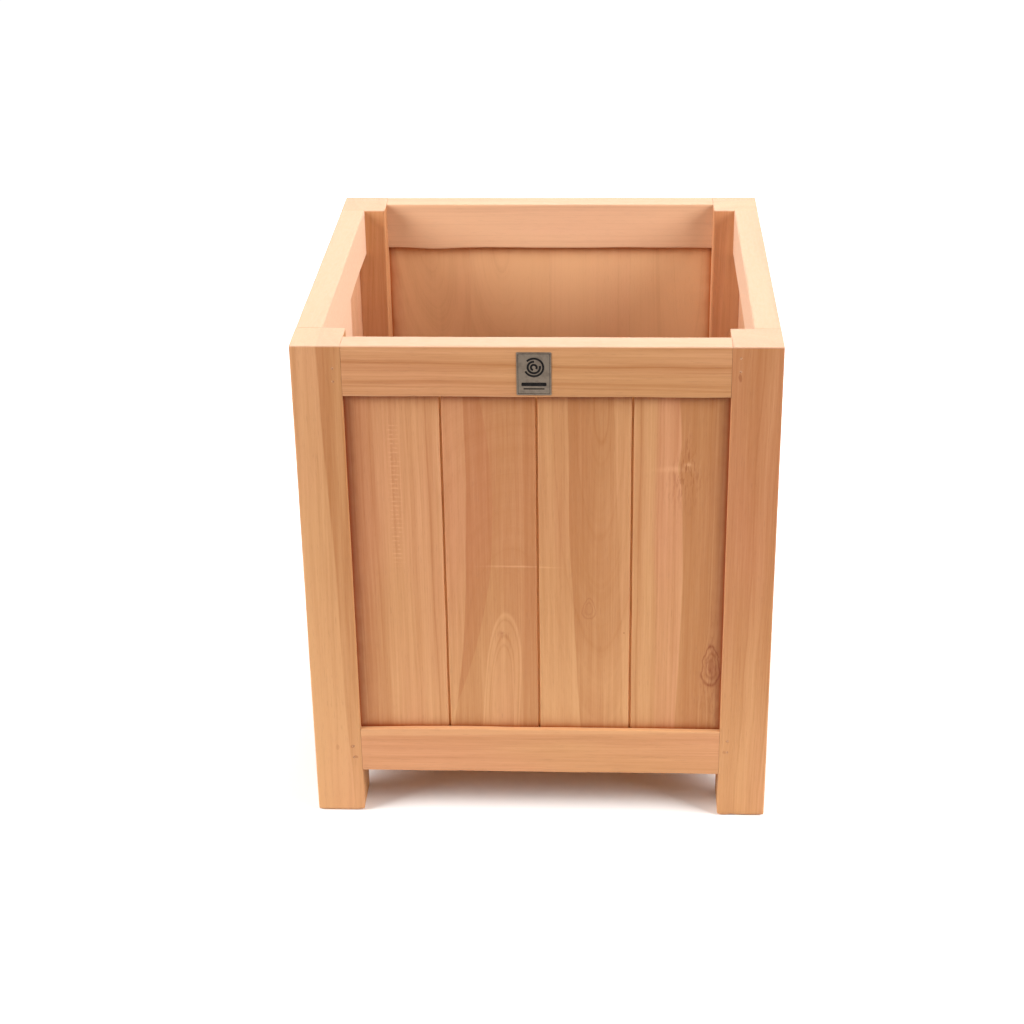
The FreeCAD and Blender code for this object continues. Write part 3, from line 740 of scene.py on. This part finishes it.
        # painted bounce light in the gaps: the sides of the boards take a warm brown behind their outer
        # faces, and not near the inner ones
        shallow, deep = look["gapLightDepth"]
        seam = ramped(tree, through, shallow - innerFace, deep - innerFace, (0, look["gapLightShare"]))
        seam = seam * ramped(tree, through, innerFace - look["insideDepth"][0], 0)
        colour = mixed(tree, seam, colour, look["seam"])
    feed(tree, surface["Base Color"], colour)
    feed(tree, surface["Roughness"], ramped(tree, fibres["Fleck"], 0.3, 0.7, look["roughness"]))
    surface["IOR"].default_value = look["ior"]
    surface["Specular IOR Level"].default_value = look["specular"]
    height = fibres["Pores"] * look["poreBump"] + fibres["Fibre"] + rings["Line"] * look["lineBump"]
    addBump(tree, surface, height, look["bumpStrength"], look["bump"])
    return material


# Painted highlights on the crests of planer chatter: ripples along the grain inside a narrow strip,
# broken up by noise so that each crest is a little dash.
def paintedCrestHighlights(tree, place, ripple):
    x, _, level = split(tree, place)
    off = (x - (postSide - half + ripple["across"])) / ripple["reach"]
    strip = fading(off.calc("ABSOLUTE") ** 3)
    low, high = ripple["low"], ripple["high"]
    inside = ramped(tree, level, low, low + 20 * mm) * ramped(tree, level, high, high - 10 * mm)
    patchy = ramped(tree, noiseOf(tree, place, 210, 2, 0.6), 0.38, 0.62)
    wave = (level * (2 * math.pi / ripple["pitch"])).calc("SINE")
    return ramped(tree, wave, 0.1, 0.9) * patchy * strip * inside


# A member worked out on the front, turned to its own side in place of its node.
def addMember(node, points, quads, turn, slotName, material):
    addPiece(camel(node), toSide(points, turn), quads, material, [node], slotName)


postShape = {
    "radius": 2.0 * mm, "footRadius": 4.2 * mm, "topRadius": 1.1 * mm, "widest": 9 * mm, "stray": 0.16 * mm,
    "cornerEasing": (0.55, 0.95), "arrisEasing": (0.45, 0.85), "jointEasing": 0.12, "jointFade": 2 * mm,
    "footEasing": (0.7, 1.0), "topEasing": (0.4, 0.8),
}


# A post's faces toward its two sides carry a groove for the boards and two mortises. Its side
# arrises are left sharp where a rail meets them flush, and eased below and between the rails.
def makePost(node, turn, index):
    shape, join = postShape, joinery
    far, radius = postSide, shape["radius"]
    play = join["mortisePlay"]
    mortiseNear, mortiseFar = join["tenonNear"] - play, join["tenonFar"] + play
    mortiseEnd = postSide - tenonLength - join["mortiseSpare"]
    grooveEnd = postSide - join["grooveDepth"]
    grooveLow, grooveHigh = legClearance + tenonTop, topRailLevel + join["grooveDepth"]
    mortises = [(legClearance + join["tenonShoulder"] - play, grooveLow + play),
                (grooveHigh - play, boxHeight - join["tenonShoulder"] + play)]
    cuts = [((grooveEnd, grooveNear, grooveLow), (1, grooveFar, grooveHigh)),
            ((grooveNear, grooveEnd, grooveLow), (grooveFar, 1, grooveHigh))]
    for low, high in mortises:
        cuts.append(((mortiseEnd, mortiseNear, low), (1, mortiseFar, high)))
        cuts.append(((mortiseNear, mortiseEnd, low), (mortiseFar, 1, high)))
    across = cuttingLines(np.concatenate([
        easingLines(0, radius, 1), easingLines(far, radius, -1),
        [grooveNear, mortiseNear, grooveFar, mortiseFar, mortiseEnd, grooveEnd],
    ]), shape["widest"])
    levels = cuttingLines(np.concatenate([
        easingLines(0, shape["footRadius"], 1), easingLines(boxHeight, shape["topRadius"], -1),
        [legClearance, legClearance + railHeight, topRailLevel, grooveLow, grooveHigh],
        [level for pair in mortises for level in pair],
    ]), shape["widest"])
    points, quads = skinOfBlock([across, across, levels], cuts)
    moved = points.copy()
    z = points[:, 2]
    seed = 40 * index
    fade = shape["jointFade"]
    inJoint = sum(within(z, low - fade / 2, low + railHeight + fade / 2, fade)
                  for low in (legClearance, topRailLevel))
    for number, (x, y) in enumerate([(0, 0), (far, 0), (0, far), (far, far)]):
        inward = (1 if x == 0 else -1, 1 if y == 0 else -1)
        isJoint = (x == 0) != (y == 0)
        least, most = shape["arrisEasing"] if isJoint else shape["cornerEasing"]
        amount = handEased(z, seed + number, least, most)
        if isJoint:
            amount = amount * (1 - inJoint) + shape["jointEasing"] * inJoint
        easeArris(points, moved, (0, 1), (x, y), inward, radius, amount)
    for axis in (0, 1):
        for edge, inward in ((0, 1), (far, -1)):
            along = points[:, 1 - axis]
            foot = handEased(along, seed + 10 + axis, *shape["footEasing"], knocks=1)
            easeArris(points, moved, (axis, 2), (edge, 0), (inward, 1), shape["footRadius"], foot)
            top = handEased(along, seed + 20 + axis, *shape["topEasing"], knocks=1)
            easeArris(points, moved, (axis, 2), (edge, boxHeight), (inward, -1), shape["topRadius"], top)
        strayInward(points, moved, axis, 2, far, shape["stray"], seed + 30 + 2 * axis)
    addMember(node, moved, quads, turn, "teak_frame", makeTeak(node, index, turn, lying=False))


# The inner-face share is painted light on a rail's inner face.
railShape = {
    "radius": 2.0 * mm, "widest": 7 * mm, "stray": 0.16 * mm, "easing": (0.4, 0.85),
    "shoulderRadius": 0.6 * mm, "shoulderEasing": 0.45, "bareInside": 0.55,
    "edgeSway": 0.35 * mm, "swayWave": 0.2, "swayMiddle": 0.9,
}
# Places where a rail's edge next to the panel was planed or sanded unevenly: place along the rail,
# reach, and how far the edge moves toward the panel, in metres.
unevenEdges = {
    "front_bottom_rail": [(0.0, 0.045, -0.0018), (0.11, 0.03, 0.0004)],
    "back_top_rail": [(0.300, 0.02, 0.0016), (0.345, 0.012, -0.0006)],
    "right_top_rail": [(0.22, 0.06, -0.0015)],
    "left_top_rail": [(0.09, 0.05, -0.0012)],
}


# A rail runs between the posts with a tenon at each end and a groove for the boards in the edge
# next to the panel, which is its upper edge at the bottom of the box and its lower one at the top.
def makeRail(node, turn, isTop, index):
    shape, join = railShape, joinery
    radius = shape["radius"]

    def level(height):
        return railHeight - height if isTop else height

    def span(first, second):
        return min(level(first), level(second)), max(level(first), level(second))

    grooveSpan = span(tenonTop, railHeight + 1 * mm)
    tenonSpan = span(join["tenonShoulder"], tenonTop)
    cuts = [((-1, grooveNear, grooveSpan[0]), (1, grooveFar, grooveSpan[1]))]
    for low, high in ((-1, 0), (opening, 1)):
        cuts += [((low, -1, -1), (high, join["tenonNear"], 1)), ((low, join["tenonFar"], -1), (high, 1, 1)),
                 ((low, -1, -1), (high, 1, tenonSpan[0])), ((low, -1, tenonSpan[1]), (high, 1, 1))]
    shoulder = shape["shoulderRadius"]
    ends = shoulder * np.array([0, 0.5, 1, 2])
    along = cuttingLines([-tenonLength, *ends, *(opening - ends), opening + tenonLength], shape["widest"])
    inward = cuttingLines(np.concatenate([
        easingLines(0, radius, 1), easingLines(railThickness, radius, -1),
        [shoulder / 2, shoulder, grooveNear, join["tenonNear"], grooveFar, join["tenonFar"]],
    ]), shape["widest"])
    upward = cuttingLines(np.concatenate([
        easingLines(0, radius, 1), easingLines(railHeight, radius, -1),
        [edge for edge in (*grooveSpan, *tenonSpan) if 0 < edge < railHeight],
    ]), shape["widest"])
    points, quads = skinOfBlock([along, inward, upward], cuts)
    moved = points.copy()
    seed = 900 + 40 * index
    x, z = points[:, 0], points[:, 2]
    arrises = [(0, 0), (0, railHeight), (railThickness, 0), (railThickness, railHeight)]
    for number, (y, edge) in enumerate(arrises):
        towards = (1 if y == 0 else -1, 1 if edge == 0 else -1)
        amount = handEased(x, seed + number, *shape["easing"])
        easeArris(points, moved, (1, 2), (y, edge), towards, radius, amount)
    for end, towards in ((0, 1), (opening, -1)):
        easeArris(points, moved, (0, 1), (end, 0), (towards, 1), shoulder, shape["shoulderEasing"])
    strayInward(points, moved, 1, 0, railThickness, shape["stray"], seed + 10)
    # the edge next to the panel sways, and is uneven in places
    panelEdge = np.clip((z - level(0)) / (level(railHeight) - level(0)), 0, 1) ** 3
    sway = (slowWave(x, seed + 20, shape["swayWave"]) - shape["swayMiddle"]) * shape["edgeSway"]
    for place, reach, move in unevenEdges.get(node, []):
        sway = sway + move * np.exp(-((x - place) / reach) ** 2)
    outside = (x > 0) & (x < opening)
    moved[:, 2] += (level(1) - level(0)) * panelEdge * sway * outside
    placed = moved + [postSide, 0, topRailLevel if isTop else legClearance]
    material = makeTeak(node, index, turn, lying=True, bareInside=shape["bareInside"])
    addMember(node, placed, quads, turn, "teak_frame", material)


# The inner-face share is painted light on a board's inner face.
boardShape = {
    "radius": 1.2 * mm, "widest": 8 * mm, "easing": (0.5, 1.0), "bareInside": 0.3,
    "cup": 0.22 * mm, "cupWave": 0.5, "stray": 0.1 * mm, "strayWave": 0.23,
    "lipSway": 0.3 * mm, "lipWave": 0.12, "lipReach": 6 * mm, "rippleFade": 8 * mm,
}


# A board has a tongue along its left edge and a slot along its right one. The lips on the outer
# face stand back from each other and leave a dark line, and those on the inner face nearly meet.
# The panel's two outer edges are plain and sit in the posts.
def makeBoard(node, turn, number, index):
    shape, join = boardShape, joinery
    isFirst, isLast = number == 0, number == 3
    base = legClearance + tenonTop
    radius = shape["radius"]
    left = -boardEntry if isFirst else join["lip"]
    right = boardPitch + boardEntry if isLast else boardPitch - join["lip"]
    cuts, lines = [], [-boardEntry]
    if not isFirst:
        lines = [-join["tongueLength"], join["seam"]]
        cuts += [((-1, -1, -1), (join["lip"], join["tongueNear"], 1)),
                 ((-1, join["tongueFar"], -1), (join["seam"], 1, 1))]
    if isLast:
        lines.append(boardPitch + boardEntry)
    else:
        slotEnd = boardPitch - join["tongueLength"] - join["tongueSpare"]
        slotNear, slotFar = join["tongueNear"] - join["tonguePlay"], join["tongueFar"] + join["tonguePlay"]
        lines += [slotEnd, boardPitch - join["seam"]]
        cuts += [((boardPitch - join["lip"], -1, -1), (1, slotNear, 1)),
                 ((slotEnd, slotNear, -1), (1, slotFar, 1))]
    ripple = chatter.get(node)
    extra = [] if ripple is None else np.arange(-3, 4) * ripple["reach"] / 2 + ripple["across"]
    across = cuttingLines(np.concatenate([easingLines(left, radius, 1), easingLines(right, radius, -1),
                                          lines, extra]), shape["widest"])
    depths = [*easingLines(0, radius, 1), join["tongueNear"], join["tongueFar"], boardThickness]
    if not isLast:
        depths += [slotNear, slotFar]
    inward = cuttingLines(depths, shape["widest"])
    levels = cuttingLines([0, boardLength], shape["widest"])
    if ripple is not None:
        ends = [ripple["low"] - base, ripple["high"] - base]
        levels = np.unique(np.concatenate([cuttingLines([0, *ends, boardLength], shape["widest"]),
                                           cuttingLines(ends, ripple["widest"])]))
    points, quads = skinOfBlock([across, inward, levels], cuts)
    moved = points.copy()
    seed = 3000 + 40 * index
    x, y, z = points[:, 0], points[:, 1], points[:, 2]
    for edge, towards, isPlain in ((left, 1, isFirst), (right, -1, isLast)):
        if not isPlain:
            amount = handEased(z, seed + towards, *shape["easing"])
            easeArris(points, moved, (0, 1), (edge, 0), (towards, 1), radius, amount)
            # the lip's edge wanders a little along the board
            nearEdge = np.clip(1 - np.abs(x - edge) / shape["lipReach"], 0, 1)
            onLip = y < join["tongueNear"] - 0.5 * mm
            wander = slowWave(z, seed + 100 + towards, shape["lipWave"]) * shape["lipSway"]
            moved[:, 0] += towards * nearEdge * onLip * wander
    share = np.clip((x - left) / (right - left), 0, 1)
    cup = shape["cup"] * (slowWave(z, 3200 + index, shape["cupWave"]) - 0.5) * 4 * share * (1 - share)
    moved[:, 1] += cup + slowWave(z, 3300 + index, shape["strayWave"]) * shape["stray"]
    if ripple is not None:
        level = z + base
        inside = within(level, ripple["low"], ripple["high"], shape["rippleFade"])
        strip = np.exp(-((x - ripple["across"]) / ripple["reach"]) ** 2) * inside * (y < tiny)
        moved[:, 1] += ripple["depth"] * strip * (1 - np.sin(2 * math.pi * level / ripple["pitch"]))
    placed = moved + [postSide + number * boardPitch, panelReveal, base]
    start = -boardEntry if isFirst else -join["tongueLength"]
    middle = (boardPitch * (2 * number + 1) + start + (boardEntry if isLast else 0)) / 2
    middleLevel = base + boardLength / 2
    borders = {"Bottom": legClearance + railHeight - middleLevel, "Top": topRailLevel - middleLevel}
    if isFirst:
        borders["Left"] = -middle
    if isLast:
        borders["Right"] = opening - middle
    material = makeTeak(node, index, turn, lying=False, borders=borders, bareInside=shape["bareInside"])
    addMember(node, placed, quads, turn, "teak_boards", material)


index = 0
for turn, side in enumerate(sides):
    makePost(posts[turn], turn, index)
    makeRail(f"{side}_bottom_rail", turn, False, index + 1)
    makeRail(f"{side}_top_rail", turn, True, index + 2)
    for number in range(4):
        makeBoard(f"{side}_board_{number + 1}", turn, number, index + 3 + number)
    index += 7
print("posts, rails and boards made")

# A node that keeps its own shape gets its material here.
def coat(node, material):
    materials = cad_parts[node].data.materials
    materials.clear()
    materials.append(material)


for step in range(5):
    node = f"floor_slat_{step + 1}"
    coat(node, makeTeak(node, 40 + step, 0, lying=True))
for turn, node in ((1, "right_floor_batten"), (3, "left_floor_batten")):
    coat(node, makeTeak(node, 50 + turn, turn, lying=True))
print("floor given its teak")


# Drawn and handled metal: a fine noise for the brushing, a slow one for tarnish.
def makeMetal(name, colour, roughness, tarnish):
    material, tree, surface, place = newMaterial(name)
    worn = ramped(tree, noiseOf(tree, place, 160, 3, 0.6), 0.42, 0.68)
    brushing = noiseOf(tree, place, 2600, 2, 0.6, along=0.1)
    feed(tree, surface["Base Color"], mixed(tree, worn, (*colour, 1), (*tarnish, 1)))
    feed(tree, surface["Roughness"], ramped(tree, brushing, 0.2, 0.8, (roughness - 0.08, roughness + 0.12)))
    surface["Metallic"].default_value = 1.0
    addBump(tree, surface, brushing, 0.3, 0.03 * mm)
    return material


steel = makeMetal("stainlessSteel", (0.55, 0.54, 0.52), 0.34, (0.42, 0.39, 0.35))
for node in ("slat_screws", "batten_screws", "tenon_pins"):
    coat(node, steel)


# Wood filler over the pins: fine-grained brown, blotchy where it was wiped.
def makeFiller():
    material, tree, surface, place = newMaterial("woodFiller")
    blotch = ramped(tree, noiseOf(tree, place, 700, 3, 0.6), 0.35, 0.65)
    feed(tree, surface["Base Color"], mixed(tree, blotch, (0.30, 0.115, 0.045, 1), (0.56, 0.30, 0.15, 1)))
    grit = noiseOf(tree, place, 4000, 2, 0.6)
    feed(tree, surface["Roughness"], ramped(tree, grit, 0.3, 0.7, (0.6, 0.8)))
    return material


coat("pin_fillers", makeFiller())
print("fasteners given their steel and filler")


labelShape = {
    "corner": 1.2 * mm, "ease": 0.12 * mm, "plateShare": 0.72,
    "border": 1.5 * mm, "borderWidth": 0.3 * mm, "borderCorner": 0.6 * mm,
    "ringMiddle": 0.65, "rings": (2.6 * mm, 5.6 * mm, 8.6 * mm), "ringWidth": 1.9 * mm,
    "ringGap": 70, "ringStart": -0.6, "ringTurn": 2.1,
    "bars": ((0.255, 0.72, 3.4 * mm), (0.15, 0.60, 1.1 * mm)),  # level, share of the width, thickness
    "barEase": 0.05 * mm,
}


# A rounded rectangle's outline: the corner arcs of radius r about points r in from each corner.
def roundedOutline(width, height, r, steps=6):
    angle = np.linspace(0, math.pi / 2, steps)
    arcs = []
    for quarter, (sx, sz) in enumerate([(1, 1), (-1, 1), (-1, -1), (1, -1)]):
        turned = angle + quarter * math.pi / 2
        x = sx * (width / 2 - r) + r * np.cos(turned)
        z = sz * (height / 2 - r) + r * np.sin(turned)
        arcs.append(np.stack([x, z], 1))
    return np.concatenate(arcs)


# A loop of points (x, z) set at the depth y.
def atDepth(loop, y):
    return np.stack([loop[:, 0], np.full(len(loop), y), loop[:, 1]], 1)


# The faces between two loops of corners, each point joined to its next.
def quadStrip(first, second, here, after):
    return np.stack([first + here, first + after, second + after, second + here], 1)


# A thin flat piece on the face of the rail: the outline carried out from the back level, in by the
# ease at the front, and closed with a point in the middle of each side.
def raisedPiece(outline, back, front, ease):
    middle = outline.mean(0)
    away = outline - middle
    shrink = 1 - ease / np.linalg.norm(away, axis=1, keepdims=True)
    count = len(outline)
    points = np.concatenate([
        atDepth(outline, back), atDepth(outline, front + (back - front) * 0.3),
        atDepth(middle + away * shrink, front),
        [[middle[0], back, middle[1]], [middle[0], front, middle[1]]],
    ])
    here = np.arange(count)
    after = (here + 1) % count
    quads = [quadStrip(row * count, (row + 1) * count, here, after) for row in range(2)]
    backCap = np.stack([after, here, np.full(count, 3 * count)], 1).tolist()
    frontCap = np.stack([2 * count + here, 2 * count + after, np.full(count, 3 * count + 1)], 1).tolist()
    return points, np.concatenate(quads).tolist() + backCap + frontCap


# A flat band along a path: a rectangle's four corners carried along it, closed at its two ends.
def raisedBand(path, width, back, front, closed):
    ahead = np.roll(path, -1, 0) - np.roll(path, 1, 0)
    if not closed:
        ahead[0], ahead[-1] = path[1] - path[0], path[-1] - path[-2]
    ahead /= np.linalg.norm(ahead, axis=1, keepdims=True)
    side = np.stack([ahead[:, 1], -ahead[:, 0]], 1) * width / 2
    points = np.concatenate([atDepth(path + side, back), atDepth(path + side, front),
                             atDepth(path - side, front), atDepth(path - side, back)])
    count = len(path)
    here = np.arange(count if closed else count - 1)
    after = (here + 1) % count
    quads = [quadStrip(k * count, (k + 1) % 4 * count, here, after) for k in range(4)]
    faces = np.concatenate(quads).tolist()
    if not closed:
        faces += [[0, count, 2 * count, 3 * count], [4 * count - 1, 3 * count - 1, 2 * count - 1, count - 1]]
    return points, faces


# Several pieces as one mesh: the corners one after another, and the faces counted on to match.
def joinPieces(pieces):
    starts = np.cumsum([0] + [len(points) for points, _ in pieces]).tolist()
    faces = [[start + corner for corner in face] for start, (_, some) in zip(starts, pieces) for face in some]
    return np.concatenate([points for points, _ in pieces]), faces


# A plain plate with growth rings, two bars and a thin border, all generic.
def makeLabel():
    shape = labelShape
    low, high = boxOf("label_plate")
    width, height, back, front = high[0] - low[0], high[2] - low[2], high[1], low[1]
    plateFace = back + (front - back) * shape["plateShare"]
    at = (low + high)[[0, 2]] / 2
    plate = raisedPiece(roundedOutline(width, height, shape["corner"]) + at, back, plateFace, shape["ease"])
    brushed = makeMetal("brushedPlate", (0.33, 0.265, 0.205), 0.42, (0.26, 0.205, 0.16))
    addPiece("namePlate", *plate, brushed, ["label_plate"], "label_metal")
    marks = []
    ringAt = at + [0, height * (shape["ringMiddle"] - 0.5)]
    sweep = 2 * math.pi - math.radians(shape["ringGap"])
    for number, radius in enumerate(shape["rings"]):
        start = shape["ringStart"] + shape["ringTurn"] * number
        angle = np.linspace(start, start + sweep, 40)
        path = ringAt + radius * np.stack([np.cos(angle), np.sin(angle)], 1)
        marks.append(raisedBand(path, shape["ringWidth"], plateFace, front, closed=False))
    for level, share, thickness in shape["bars"]:
        bar = roundedOutline(width * share, thickness, thickness * 0.3, 3) + at + [0, height * (level - 0.5)]
        marks.append(raisedPiece(bar, plateFace, front, shape["barEase"]))
    inset = 2 * shape["border"]
    border = roundedOutline(width - inset, height - inset, shape["borderCorner"]) + at
    marks.append(raisedBand(border, shape["borderWidth"], plateFace, front, closed=True))
    dark = makeMetal("darkPrint", (0.022, 0.020, 0.020), 0.5, (0.035, 0.03, 0.028))
    addPiece("plateMarks", *joinPieces(marks), dark, [], "label_metal")


makeLabel()
print("label plate made")


cameraView = {
    "place": (0.06855, -1.96497, 1.18419), "yaw": -0.0529, "down": 0.4519, "roll": -0.0163,
    "lens": 72.4, "sensor": 36, "farthest": 50,
}


def makeCamera():
    view = cameraView
    data = bpy.data.cameras.new("camera")
    camera = bpy.data.objects.new("camera", data)
    bpy.context.scene.collection.objects.link(camera)
    yaw, down, roll = view["yaw"], view["down"], view["roll"]
    forward = Vector((math.sin(yaw) * math.cos(down), math.cos(yaw) * math.cos(down), -math.sin(down)))
    level = Vector((math.cos(yaw), -math.sin(yaw), 0))
    up = level.cross(forward)
    right = math.cos(roll) * level + math.sin(roll) * up
    top = -math.sin(roll) * level + math.cos(roll) * up
    turned = Matrix((right, top, -forward)).transposed().to_4x4()
    turned.translation = Vector(view["place"])
    camera.matrix_world = turned
    data.lens = view["lens"]
    data.sensor_width = view["sensor"]
    data.clip_end = view["farthest"]
    bpy.context.scene.camera = camera


makeCamera()

studio = {
    "floorSize": 12.0,
    "floorColour": (0.95, 0.94, 0.93, 1),
    "farColour": (0.25, 0.25, 0.25, 1),
    "fade": (0.75, 1.5),
    "skyColour": (1.0, 0.99, 0.985, 1),
    "skyStrength": 0.03,
    "floorRoughness": 0.8,
    # place, aimed at, width, height, power in watts
    "softboxes": {
        "behindAbove": ((0, 1.9, 2.2), (0, 0, 0.4), 1.8, 1.0, 54),
        "left": ((-2.3, -0.95, 1.7), (0, 0, 0.2), 1.6, 1.6, 110),
        "right": ((2.3, -0.95, 1.7), (0, 0, 0.2), 1.6, 1.6, 98),
        "rightBehind": ((1.8, 0.6, 1.6), (0, 0, 0.3), 1.2, 1.2, 18),
    },
}


# A lamp that is turned to look at its target.
def addSoftbox(name, place, target, width, height, power):
    data = bpy.data.lights.new(name, "AREA")
    data.shape = "RECTANGLE"
    data.size, data.size_y = width, height
    data.energy = power
    lamp = bpy.data.objects.new(name, data)
    bpy.context.scene.collection.objects.link(lamp)
    lamp.location = place
    lamp.rotation_euler = (Vector(target) - Vector(place)).to_track_quat("-Z", "Y").to_euler()


def seenByCamera(tree):
    return Wire(tree, addNode(tree, "ShaderNodeLightPath").outputs["Is Camera Ray"])


def makeStudio():
    span = studio["floorSize"]
    mesh = bpy.data.meshes.new("studioFloor")
    corners = [(-span, -span, 0), (span, -span, 0), (span, span, 0), (-span, span, 0)]
    mesh.from_pydata(corners, [], [(0, 1, 2, 3)])
    floor = bpy.data.objects.new("studioFloor", mesh)
    bpy.context.scene.collection.objects.link(floor)
    material, tree, surface, place = newMaterial("paleFloor")
    surface["Roughness"].default_value = studio["floorRoughness"]
    # away from the box the floor gives little light back, as past the edge of a sweep, but it is
    # seen as an even white
    distance = Wire(tree, addNode(tree, "ShaderNodeVectorMath", [place], operation="LENGTH").outputs["Value"])
    far = ramped(tree, distance, *studio["fade"])
    feed(tree, surface["Base Color"], mixed(tree, far, studio["floorColour"], studio["farColour"]))
    feed(tree, surface["Emission Strength"], far * seenByCamera(tree))
    surface["Emission Color"].default_value = (1, 1, 1, 1)
    mesh.materials.append(material)
    world = bpy.data.worlds.new("studio")
    world.use_nodes = True
    tree = world.node_tree
    background = tree.nodes["Background"].inputs
    background["Color"].default_value = studio["skyColour"]
    feed(tree, background["Strength"], seenByCamera(tree).calc("MAXIMUM", studio["skyStrength"]))
    bpy.context.scene.world = world
    for name, softbox in studio["softboxes"].items():
        addSoftbox(name, *softbox)


makeStudio()
bpy.context.scene.view_settings.view_transform = "Standard"
print("camera and studio made")
